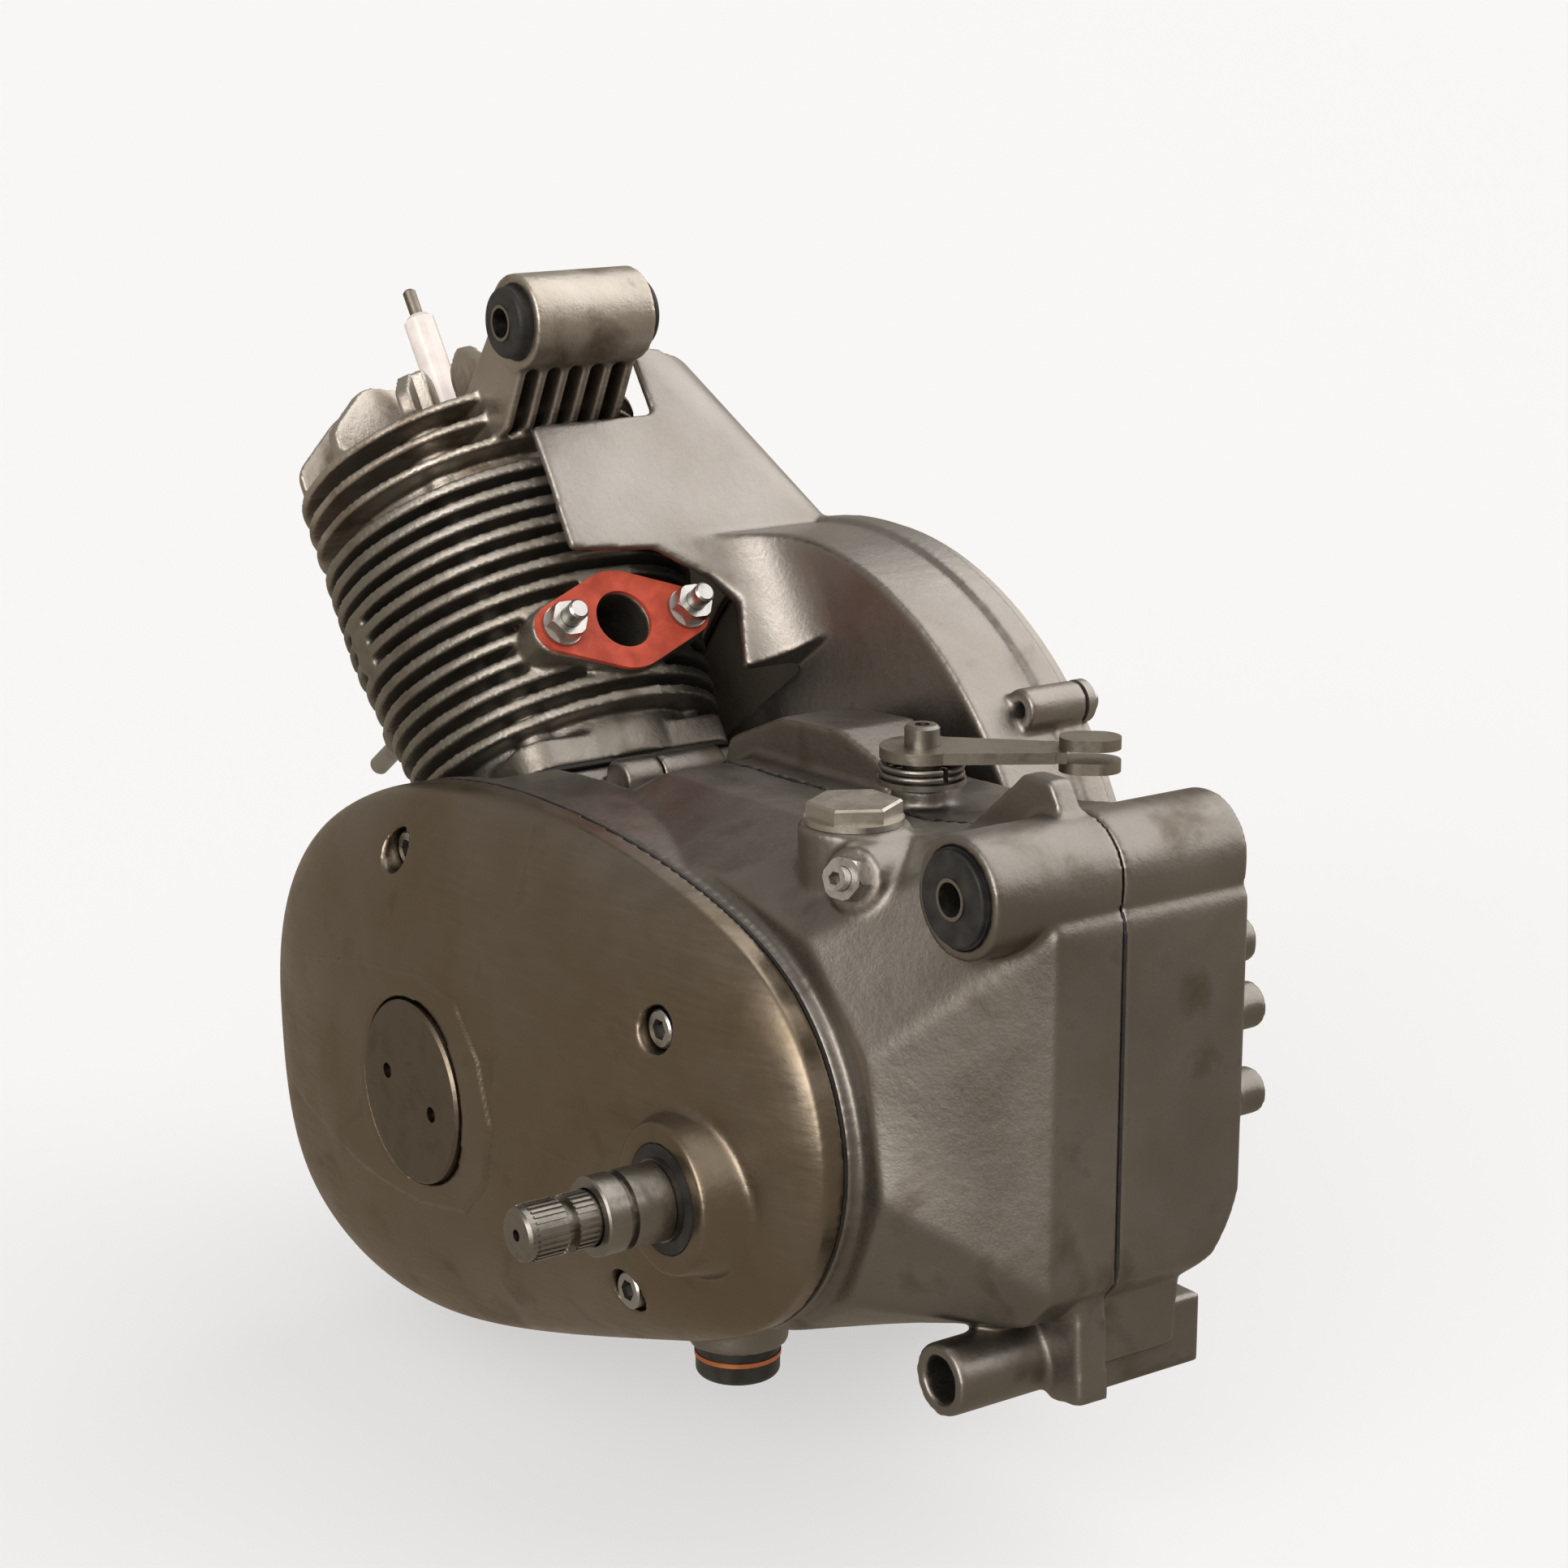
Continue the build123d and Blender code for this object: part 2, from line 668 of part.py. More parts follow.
with BuildPart() as clutch_cover:
    add(domed_body(cover_seat_y - cover_rim, cover_dome))
    with BuildSketch(side(cover_seat_y)):
        with BuildLine():
            add(cover_outline())
        make_face()
    extrude(amount=cover_rim)
    with BuildSketch(side(cover_seat_y - cover_rim)):
        with Locations((kick_x, kick_z)):
            Circle(25)
    extrude(amount=cover_seat_y - cover_rim - cover_boss_y, taper=16)
    add(cover_void.part, mode=Mode.SUBTRACT)
    with BuildSketch(side(cover_screw_seat_y)):
        with Locations(*cover_screws_xz):
            Circle(screw_head_radius + 1)
    extrude(amount=40, mode=Mode.SUBTRACT)
    with BuildSketch(side(cover_seat_y + 1)):
        with Locations(*cover_screws_xz):
            Circle(screw_radius + seat_gap)
        with Locations((kick_x, kick_z)):
            Circle(shift_radius + 0.5 + free_gap)
        with Locations((crank_x, crank_z)):
            Circle(cap_radius - 4)
    extrude(amount=60, mode=Mode.SUBTRACT)
    with BuildSketch(side(cover_boss_y + 7)):
        with Locations((kick_x, kick_z)):
            Circle(seal_radius)
    extrude(amount=20, mode=Mode.SUBTRACT)
    with BuildSketch(side(cap_face_y + 4.5)):
        with Locations((crank_x, crank_z)):
            Circle(cap_radius + 0.6)
    extrude(amount=20, mode=Mode.SUBTRACT)
save(clutch_cover.part, "clutch_cover")

with BuildPart() as inspection_cap:
    with BuildSketch(side(cap_face_y + 4.5)):
        with Locations((crank_x, crank_z)):
            Circle(cap_radius)
    extrude(amount=4.5)
    chamfer(inspection_cap.faces().sort_by(Axis.Y)[0].edges(), 0.8)
    with BuildSketch(side(cap_face_y + 10)):
        with Locations((crank_x, crank_z)):
            Circle(cap_radius - 4 - seat_gap)
            Circle(cap_radius - 7, mode=Mode.SUBTRACT)
    extrude(amount=5.5)
    with BuildSketch(side(cap_face_y + 2.5)):
        with Locations((crank_x - 12, crank_z + 3), (crank_x + 12, crank_z - 3)):
            Circle(2.2)
    extrude(amount=5, mode=Mode.SUBTRACT)
save(inspection_cap.part, "inspection_cap")

with BuildPart() as cap_screws:
    with BuildSketch(side(cover_screw_seat_y)):
        with Locations(*cover_screws_xz):
            Circle(screw_head_radius)
    extrude(amount=screw_head_height)
    chamfer(cap_screws.faces().filter_by(Plane.XZ).sort_by(Axis.Y)[:3].edges(), 0.5)
    with BuildSketch(side(left_wall_y - 3)):
        with Locations(*cover_screws_xz):
            Circle(screw_radius)
    extrude(amount=left_wall_y - 3 - cover_screw_seat_y)
    with BuildSketch(side(cover_screw_seat_y - screw_head_height + 3)):
        with Locations(*cover_screws_xz):
            RegularPolygon(2.5, 6, major_radius=False)
    extrude(amount=5, mode=Mode.SUBTRACT)
save(cap_screws.part, "cover_screws")

with BuildPart() as shaft_seal:
    with BuildSketch(side(cover_boss_y + 7)):
        with Locations((kick_x, kick_z)):
            Circle(seal_radius)
            Circle(shift_radius + 0.5 + running_gap, mode=Mode.SUBTRACT)
    extrude(amount=6.5)
save(shaft_seal.part, "shift_shaft_seal")

# ---------------------------------------------------------------- cylinder
head_face = barrel_top
gasket_h = 1.0


def fin_outline(h):
    """Radius of the round fin at this height."""
    share = (h - first_fin_height) / (fin_pitch * (fin_count - 1))
    return low_fin_radius + (fin_radius - low_fin_radius) * min(1.0, 1.6 * share)


with BuildPart() as cylinder:
    with BuildSketch(barrel(deck_height + gasket_h)):
        RectangleRounded(70, 70, 9)
    extrude(amount=9)
    with BuildSketch(barrel(deck_height - spigot_depth)):
        Circle(bore_radius + 4)
    extrude(amount=spigot_depth + gasket_h)
    with BuildSketch(barrel(deck_height + gasket_h)):
        Circle(jacket_radius)
    extrude(amount=head_face - gasket_h - deck_height - gasket_h)
    with BuildSketch(barrel(deck_height + gasket_h)):
        with Locations(*stud_places):
            Circle(stud_radius + 3)
    extrude(amount=head_face - gasket_h - deck_height - gasket_h)
    for number in range(fin_count):
        height = first_fin_height + number * fin_pitch
        with BuildSketch(barrel(height)):
            Circle(fin_outline(height))
        extrude(amount=fin_thickness)
    for port_face in (port_plane(port_height, intake_face), port_plane(exhaust_height, -intake_face, rear=False)):
        with BuildSketch(port_face):
            Rectangle(66, 42)
        extrude(amount=10, mode=Mode.SUBTRACT)
    with BuildSketch(port_plane(port_height, bore_radius + 2)):
        Circle(port_radius + 6)
        with Locations((-intake_stud_spacing / 2, 0), (intake_stud_spacing / 2, 0)):
            Circle(8)
        make_hull()
    extrude(amount=intake_face - bore_radius - 2)
    with BuildSketch(port_plane(exhaust_height, -bore_radius - 2, rear=False)):
        Circle(exhaust_radius + 6)
        with Locations((-exhaust_stud_spacing / 2, 0), (exhaust_stud_spacing / 2, 0)):
            Circle(8)
        make_hull()
    extrude(amount=intake_face - bore_radius - 2)
    with BuildSketch(barrel(deck_height - spigot_depth - 1)):
        Circle(bore_radius)
    extrude(amount=150, mode=Mode.SUBTRACT)
    with BuildSketch(barrel(deck_height - 1)):
        with Locations(*stud_places):
            Circle(stud_radius + free_gap)
    extrude(amount=150, mode=Mode.SUBTRACT)
    with BuildSketch(port_plane(port_height, 0)):
        Circle(port_radius)
    extrude(amount=intake_face + 1, mode=Mode.SUBTRACT)
    with BuildSketch(port_plane(port_height, intake_face - 16)):
        with Locations((-intake_stud_spacing / 2, 0), (intake_stud_spacing / 2, 0)):
            Circle(stud_radius + seat_gap)
    extrude(amount=17, mode=Mode.SUBTRACT)
    with BuildSketch(port_plane(exhaust_height, 0, rear=False)):
        Circle(exhaust_radius)
    extrude(amount=intake_face + 1, mode=Mode.SUBTRACT)
    with BuildSketch(port_plane(exhaust_height, -intake_face + 16, rear=False)):
        with Locations((-exhaust_stud_spacing / 2, 0), (exhaust_stud_spacing / 2, 0)):
            Circle(exhaust_stud_core + seat_gap)
    extrude(amount=17, mode=Mode.SUBTRACT)
    with BuildSketch(barrel_side(-jacket_radius)):
        with Locations((-7, 135)):
            RectangleRounded(9, 17, 2)
    extrude(amount=51 - jacket_radius)
save(cylinder.part, "cylinder")


def barrel_gasket(h, thickness, outer):
    """Flat gasket square to the barrel with the bore and stud holes."""
    with BuildPart() as gasket:
        with BuildSketch(barrel(h)):
            if outer:
                Circle(outer)
            else:
                RectangleRounded(70, 70, 9)
            Circle(bore_radius + 4.3, mode=Mode.SUBTRACT)
            with Locations(*stud_places):
                Circle(stud_radius + free_gap, mode=Mode.SUBTRACT)
        extrude(amount=thickness)
    return gasket.part


save(barrel_gasket(deck_height, gasket_h, 0), "base_gasket")
save(barrel_gasket(head_face - gasket_h, gasket_h, 42), "head_gasket")

# ---------------------------------------------------------------- cylinder head
plug_seat = head_face + 18.0
head_fins = 12

with BuildPart() as cylinder_head:
    with BuildSketch(barrel(head_face)):
        Circle(42)
    extrude(amount=5)
    for height in (head_face + 4.5, head_face + 12, head_top - 2.5):
        with BuildSketch(barrel(height)):
            Circle(fin_radius)
        extrude(amount=2.5)
    with BuildSketch(barrel(head_face)):
        Circle(30)
        with Locations(*stud_places):
            Circle(9)
    extrude(amount=head_top - head_face)
    with BuildPart(mode=Mode.PRIVATE) as fin_blank:
        with BuildSketch(barrel_side(0)):
            with BuildLine():
                FilletPolyline((17, head_top - 1), (17, head_fin_top), (34, head_fin_top + 1),
                               (fin_radius - 1, head_top + 8), (fin_radius - 1, head_top - 1), close=True,
                               radius=(0.5, 5, 12, 6, 0.5))
            make_face()
        extrude(amount=2.2, both=True)
    for number in range(head_fins):
        turn = 15 + 360 / head_fins * number
        add(fin_blank.part.rotate(Axis(at_barrel(0), barrel(0).z_dir), turn))
    with BuildSketch(barrel_side(head_lug_half_length)):
        with Locations((head_lug_p, head_lug_h)):
            Circle(head_lug_radius)
    extrude(amount=2 * head_lug_half_length)
    for number in range(6):
        web_y = -head_lug_half_length + 2 + number * 7.2
        with BuildSketch(barrel_side(web_y + 1.4)):
            with BuildLine():
                FilletPolyline((30, head_top - 1), (30, head_face + 5.5), (55, head_face + 5.5),
                               (head_lug_p - 4, head_lug_h - 11), (head_lug_p - 8, head_lug_h + 8),
                               close=True, radius=1.5)
            make_face()
        extrude(amount=2.8)
    with BuildSketch(barrel_side(head_lug_half_length - 2)):
        with BuildLine():
            FilletPolyline((40, head_top + 3), (40, head_top - 1), (58, head_top - 3),
                           (head_lug_p - 6, head_lug_h - 9), (head_lug_p - 8, head_lug_h + 8), close=True,
                           radius=1.5)
        make_face()
    extrude(amount=2 * head_lug_half_length - 4)
    with BuildSketch(barrel_side(head_lug_half_length + 1)):
        with Locations((head_lug_p, head_lug_h)):
            Circle(head_bush_radius)
    extrude(amount=2 * head_lug_half_length + 2, mode=Mode.SUBTRACT)
    with BuildSketch(barrel(head_face - 1)):
        Circle(bore_radius)
    extrude(amount=7, taper=30, mode=Mode.SUBTRACT)
    with BuildSketch(barrel(head_face)):
        Circle(7 + seat_gap)
    extrude(amount=60, mode=Mode.SUBTRACT)
    with BuildSketch(barrel(plug_seat)):
        Circle(15)
    extrude(amount=60, mode=Mode.SUBTRACT)
    with BuildSketch(barrel(head_face - 1)):
        with Locations(*stud_places):
            Circle(stud_radius + free_gap)
    extrude(amount=60, mode=Mode.SUBTRACT)
    with BuildSketch(barrel(head_top - 5)):
        with Locations(*stud_places):
            Circle(7.5)
    extrude(amount=60, mode=Mode.SUBTRACT)
save(cylinder_head.part, "cylinder_head")

save(round_bars(barrel(deck_height - 23), stud_places, stud_radius, head_top - 5 + 9 - deck_height + 23),
     "cylinder_studs")
save(hex_nut(barrel(head_top - 5), stud_places, 10, 6, stud_radius + seat_gap), "head_nuts")

# ---------------------------------------------------------------- spark plug
with BuildPart() as plug_shell:
    with BuildSketch(barrel(head_face + 3)):
        Circle(7)
    extrude(amount=plug_seat - head_face - 3)
    with BuildSketch(barrel(plug_seat)):
        Circle(10.5)
    extrude(amount=2)
    with BuildSketch(barrel(plug_seat + 2)):
        RegularPolygon(10.4, 6, major_radius=False)
    extrude(amount=9)
    with BuildSketch(barrel(plug_seat + 11)):
        Circle(8)
    extrude(amount=3, taper=20)
    with BuildSketch(barrel(head_face + 2)):
        Circle(4.7 + seat_gap)
    extrude(amount=40, mode=Mode.SUBTRACT)
save(plug_shell.part, "spark_plug_shell")

insulator_top = 236.0
with BuildPart() as insulator:
    with BuildSketch(barrel(head_face + 4)):
        Circle(4.7)
    extrude(amount=insulator_top - head_face - 4)
    chamfer(insulator.edges().filter_by(GeomType.CIRCLE).sort_by(Axis.Z)[-1], 1.6)
save(insulator.part, "spark_plug_insulator")

with BuildPart() as plug_terminal:
    with BuildSketch(barrel(insulator_top)):
        Circle(2)
    extrude(amount=9)
    with BuildSketch(barrel(insulator_top + 3)):
        Circle(1.5)
        Circle(2.5, mode=Mode.SUBTRACT)
    chamfer(plug_terminal.edges().filter_by(GeomType.CIRCLE).sort_by(Axis.Z)[-1], 0.6)
save(plug_terminal.part, "spark_plug_terminal")

# ---------------------------------------------------------------- intake fittings
intake_stud_places = ((-intake_stud_spacing / 2, 0), (intake_stud_spacing / 2, 0))
exhaust_stud_places = ((-exhaust_stud_spacing / 2, 0), (exhaust_stud_spacing / 2, 0))

with BuildPart() as intake_gasket:
    with BuildSketch(port_plane(port_height, intake_face)):
        Circle(port_radius + 6.5)
        with Locations(*intake_stud_places):
            Circle(7.5)
        make_hull()
        Circle(port_radius, mode=Mode.SUBTRACT)
        with Locations(*intake_stud_places):
            Circle(stud_radius + seat_gap, mode=Mode.SUBTRACT)
    extrude(amount=1.5)
save(intake_gasket.part, "intake_gasket")
with BuildPart() as port_studs:
    add(round_bars(port_plane(port_height, intake_face - 15), intake_stud_places, stud_radius, 29))
    add(round_bars(port_plane(exhaust_height, -intake_face - 0.5, rear=False), exhaust_stud_places, stud_radius,
                   21.5))
    with BuildSketch(port_plane(exhaust_height, -intake_face + 15, rear=False)):
        with Locations(*exhaust_stud_places):
            Circle(exhaust_stud_core)
    extrude(amount=17)
save(port_studs.part, "port_studs")

with BuildPart() as intake_washers:
    with BuildSketch(port_plane(port_height, intake_face + 1.5)):
        with Locations(*intake_stud_places):
            Circle(6)
            Circle(stud_radius + seat_gap, mode=Mode.SUBTRACT)
    extrude(amount=1.5)
save(intake_washers.part, "intake_washers")
save(hex_nut(port_plane(port_height, intake_face + 3), intake_stud_places, 10, 5, stud_radius + seat_gap),
     "intake_nuts")

# ---------------------------------------------------------------- rubber bushed mounts
def bush_part(plane, place, outer, inner, length, proud, flange):
    """Rubber bush pressed into one end of a mount tube, with a thin lip standing proud of its end."""
    with BuildPart() as bush:
        with BuildSketch(plane):
            with Locations(place):
                Circle(outer - press_gap)
                Circle(inner, mode=Mode.SUBTRACT)
        extrude(amount=-length)
        with BuildSketch(plane):
            with Locations(place):
                Circle(outer - flange)
                Circle(inner, mode=Mode.SUBTRACT)
        extrude(amount=proud)
        fillet(bush.faces().sort_by(Axis.Y)[0 if plane.z_dir.Y < 0 else -1].edges().sort_by(SortBy.RADIUS)[-1],
               proud * 0.45)
    return bush.part


def sleeve_part(plane, place, length, outer, hole):
    """Steel sleeve through both bushes, centred on the plane."""
    with BuildPart() as sleeve:
        with BuildSketch(plane):
            with Locations(place):
                Circle(outer)
                Circle(hole, mode=Mode.SUBTRACT)
        extrude(amount=length / 2, both=True)
    return sleeve.part


def side_right(y):
    """Sketch plane across the engine at this Y facing right: sketch x is -X, sketch y is Z."""
    return Plane(origin=(0, y, 0), x_dir=(-1, 0, 0), z_dir=(0, 1, 0))


save_group([bush_part(side(-mount_half_length), (0, 0), bush_radius, sleeve_radius, bush_length, 1.5, 0.6),
            bush_part(side_right(mount_half_length), (0, 0), bush_radius, sleeve_radius, bush_length, 1.5, 0.6)],
           "rear_mount_bushes")
save(sleeve_part(side(0), (0, 0), 2 * mount_half_length + 4, sleeve_radius, mount_hole_radius),
     "rear_mount_sleeve")

head_x, _, head_z = at_barrel(head_lug_h, head_lug_p)
save_group([bush_part(side(-head_lug_half_length), (head_x, head_z), head_bush_radius, sleeve_radius, 14,
                      head_bush_proud, 0.4),
            bush_part(side_right(head_lug_half_length), (-head_x, head_z), head_bush_radius, sleeve_radius, 14,
                      head_bush_proud, 0.4)], "head_mount_bushes")
save(sleeve_part(side(0), (head_x, head_z), 2 * head_lug_half_length + 2 * head_bush_proud + 1, sleeve_radius,
                 mount_hole_radius), "head_mount_sleeve")

# ---------------------------------------------------------------- plugs and adjuster
with BuildPart() as filler_plug:
    with BuildSketch(Plane.XY.offset(filler_seat_z - 13)):
        with Locations((filler_x, filler_y)):
            Circle(8)
    extrude(amount=13)
    with BuildSketch(Plane.XY.offset(filler_seat_z)):
        with Locations((filler_x, filler_y)):
            Circle(12.5)
    extrude(amount=1.5)
    with BuildSketch(Plane.XY.offset(filler_seat_z + 1.5)):
        with Locations((filler_x, filler_y)):
            RegularPolygon(10.5, 6, major_radius=False)
    extrude(amount=4)
    chamfer(filler_plug.faces().sort_by(Axis.Z)[-1].edges(), 0.6)
save(filler_plug.part, "oil_filler_plug")

save(hex_nut(adjuster_plane, [(0, 0)], 10, 5, stud_radius + seat_gap), "adjuster_lock_nut")
with BuildPart() as adjuster_screw:
    with BuildSketch(adjuster_plane.offset(-6)):
        Circle(stud_radius)
    extrude(amount=14)
    with BuildSketch(adjuster_plane.offset(5.5)):
        RegularPolygon(1.5, 6, major_radius=False)
    extrude(amount=3, mode=Mode.SUBTRACT)
save(adjuster_screw.part, "adjuster_screw")

ring_low = drain_seat_z - 4.0
ring_thickness = 1.2
with BuildPart() as drain_ring:
    with BuildSketch(Plane.XY.offset(ring_low)):
        with Locations((drain_x, drain_y)):
            Circle(11.5)
            Circle(9 + seat_gap, mode=Mode.SUBTRACT)
    extrude(amount=ring_thickness)
save(drain_ring.part, "drain_plug_ring")
with BuildPart() as drain_plug:
    with BuildSketch(Plane.XY.offset(ring_low - 5.5)):
        with Locations((drain_x, drain_y)):
            Circle(11.2)
    extrude(amount=5.5)
    fillet(drain_plug.faces().sort_by(Axis.Z)[0].edges(), 2)
    with BuildSketch(Plane.XY.offset(ring_low + ring_thickness)):
        with Locations((drain_x, drain_y)):
            Circle(11.2)
    extrude(amount=drain_seat_z - ring_low - ring_thickness)
    with BuildSketch(Plane.XY.offset(ring_low - 1)):
        with Locations((drain_x, drain_y)):
            Circle(9)
    extrude(amount=drain_seat_z - ring_low + 11)
    with BuildSketch(Plane.XY.offset(ring_low - 7)):
        with Locations((drain_x, drain_y)):
            RegularPolygon(5, 6, major_radius=False)
    extrude(amount=5, mode=Mode.SUBTRACT)
save(drain_plug.part, "drain_plug")

# ---------------------------------------------------------------- blower shroud
duct_low_h, duct_high_h = 84.0, 190.0
duct_shoulder_h = 132.0
duct_low_right, duct_high_right = volute_right_y, 62.0
ear_length = 20.0
rim_lip = 1.5                           # of the volute's flange beyond its wall


def duct_section(h, right, inset, corner):
    """Closed section of the air duct square to the barrel, its left side cut off later."""
    back = duct_back - inset
    left, reach = duct_left_y - 20, right - inset
    with BuildSketch(barrel(h)) as section:
        with Locations((0, (left + reach) / 2)):
            RectangleRounded(2 * back, reach - left, corner)
    return section.sketch


def duct_solid(inset):
    """Tapering duct body from the volute up to the head."""
    with BuildPart() as duct:
        add(duct_section(duct_low_h, duct_low_right, inset, 12 - inset))
        add(duct_section(duct_shoulder_h, duct_low_right, inset, 14 - inset))
        add(duct_section(duct_high_h, duct_high_right, inset, 36 - inset))
        loft(ruled=True)
    return duct.part


def volute_disc(y_low, y_high, radius, edge=0.0):
    """Disc about the volute's centre."""
    return disc_part(volute_x, volute_z, y_low, y_high, radius, edge=edge)


def corner_web():
    """Hollow corner that sweeps from the duct's back into the volute's left wall."""
    start_y = volute_left_y - duct_corner
    with BuildPart() as web:
        with BuildSketch(barrel(duct_low_h)):
            with BuildLine():
                wall_line = Line((duct_back - shroud_wall, start_y), (duct_back - shroud_wall, volute_left_y + 1))
                end_line = Line(wall_line @ 1, (duct_back + duct_corner, volute_left_y + 1))
                edge_line = Line(end_line @ 1, (duct_back + duct_corner, volute_left_y))
                CenterArc((duct_back + duct_corner, start_y), duct_corner, 90, 90)
                Line((duct_back, start_y), wall_line @ 0)
            make_face()
        extrude(amount=duct_shoulder_h - duct_low_h)
        add(volute_disc(start_y - 1, volute_left_y + 2, volute_radius), mode=Mode.INTERSECT)
    return web.part


with BuildPart() as fan_shroud:
    add(duct_solid(0))
    add(volute_disc(volute_left_y, volute_right_y, volute_radius))
    add(volute_disc(volute_right_y - 9, volute_right_y, volute_radius + rim_lip))
    for ear in shroud_ears:
        ear_x, ear_z = from_point(volute_x, volute_z, ear, volute_radius + 2)
        add(disc_part(ear_x, ear_z, volute_right_y - ear_length, volute_right_y, 6))
    add(volute_disc(volute_left_y + shroud_wall, volute_right_y + 1, volute_radius - shroud_wall),
        mode=Mode.SUBTRACT)
    add(duct_solid(shroud_wall), mode=Mode.SUBTRACT)
    add(corner_web())
    with BuildSketch(barrel(duct_high_h - 1)):
        Rectangle(2 * duct_back - 2 * shroud_wall, 2 * (duct_high_right - shroud_wall))
    extrude(amount=10, mode=Mode.SUBTRACT)
    with BuildSketch(port_plane(0, 0)):
        with BuildLine():
            FilletPolyline((-60, 60), (-60, 200), (28, 200), (28, 168), (-12.6, 168), (-14, 129), (13, 126),
                           (28, 115), (33, 106), (28, 86), (volute_left_y, 86), (volute_left_y, 60), close=True,
                           radius=1.5)
        make_face()
    extrude(amount=duct_back + 20, mode=Mode.SUBTRACT)
    with BuildSketch(port_plane(0, 0)):
        with BuildLine():
            FilletPolyline((-60, 60), (-60, 200), (-12.6, 200), (-12.6, 86), (volute_left_y, 86),
                           (volute_left_y, 60), close=True, radius=1.5)
        make_face()
    extrude(amount=-duct_back - 20, mode=Mode.SUBTRACT)
    with BuildSketch(port_plane(exhaust_height, -duct_back - 10)):
        Rectangle(72, 54)
    extrude(amount=30, mode=Mode.SUBTRACT)
    add(disc_part(crank_x, crank_z, volute_left_y - 1, volute_left_y + shroud_wall + 1, flywheel_radius + 5),
        mode=Mode.SUBTRACT)
    with BuildSketch(side(volute_left_y + 10)):
        with Locations((crank_x, crank_z)):
            with PolarLocations(magneto_ring_radius - 4, 4, start_angle=45):
                Circle(screw_radius - 0.5 + seat_gap)
    extrude(amount=20, mode=Mode.SUBTRACT)
    for ear in shroud_ears:
        ear_x, ear_z = from_point(volute_x, volute_z, ear, volute_radius + 2)
        add(disc_part(ear_x, ear_z, volute_right_y - ear_length - 1, volute_right_y + 1, 2.2), mode=Mode.SUBTRACT)
save(max(fan_shroud.part.solids(), key=lambda solid: solid.volume), "fan_shroud")

cover_plate_y = volute_right_y
with BuildPart() as blower_cover:
    add(volute_disc(cover_plate_y, cover_plate_y + 2.5, volute_radius))
    add(disc_part(crank_x, crank_z, cover_plate_y, cover_plate_y + 9, inlet_radius + 3))
    for ear in shroud_ears:
        ear_x, ear_z = from_point(volute_x, volute_z, ear, volute_radius + 2)
        add(disc_part(ear_x, ear_z, cover_plate_y, cover_plate_y + 2.5, 6))
        add(disc_part(ear_x, ear_z, cover_plate_y - 1, cover_plate_y + 4, 2.2), mode=Mode.SUBTRACT)
    add(disc_part(crank_x, crank_z, cover_plate_y - 1, cover_plate_y + 10, inlet_radius), mode=Mode.SUBTRACT)
    with BuildSketch(side(cover_plate_y + 9)):
        with Locations((crank_x, crank_z)):
            for ring in (12, 22, 32, 42):
                Circle(ring + 1.4)
                Circle(ring - 1.4, mode=Mode.SUBTRACT)
    extrude(amount=2.5)
    with BuildSketch(side(cover_plate_y + 9)):
        with Locations((crank_x, crank_z)):
            with PolarLocations(inlet_radius / 2 + 6, 6, start_angle=30):
                Rectangle(inlet_radius - 10, 3)
    extrude(amount=2.5)
save(blower_cover.part, "blower_cover")

shroud_screw_r = screw_radius - 0.5
shroud_screws = []
for ear in shroud_ears:
    ear_x, ear_z = from_point(volute_x, volute_z, ear, volute_radius + 2)
    with BuildPart() as ear_screw:
        add(disc_part(ear_x, ear_z, cover_plate_y - 12, cover_plate_y + 2.5, 2))
        add(disc_part(ear_x, ear_z, cover_plate_y + 2.5, cover_plate_y + 5.5, 3.8, edge=0.6))
    shroud_screws.append(ear_screw.part)
for number in range(4):
    screw_x, screw_z = from_point(crank_x, crank_z, 45 + 90 * number, magneto_ring_radius - 4)
    with BuildPart() as ring_screw:
        add(disc_part(screw_x, screw_z, right_face_y + 1, volute_left_y + shroud_wall, shroud_screw_r))
        add(disc_part(screw_x, screw_z, volute_left_y + shroud_wall, volute_left_y + shroud_wall + 3.5, 4.5,
                      edge=0.5))
    shroud_screws.append(ring_screw.part)
save_group(shroud_screws, "shroud_screws")

# ---------------------------------------------------------------- crankshaft and piston
web_inner = web_gap / 2
left_end_y, right_end_y = -62.0, 84.0


def crank_half(sign, reach):
    """One crank web with its journal, turned and pressed as one piece."""
    with BuildPart() as half:
        low, high = sorted((sign * web_inner, sign * (web_inner + web_width)))
        add(disc_part(crank_x, crank_z, low, high, web_radius, edge=1.0))
        low, high = sorted((sign * (web_inner + web_width), reach))
        add(disc_part(crank_x, crank_z, low, high, journal_radius))
    return half.part


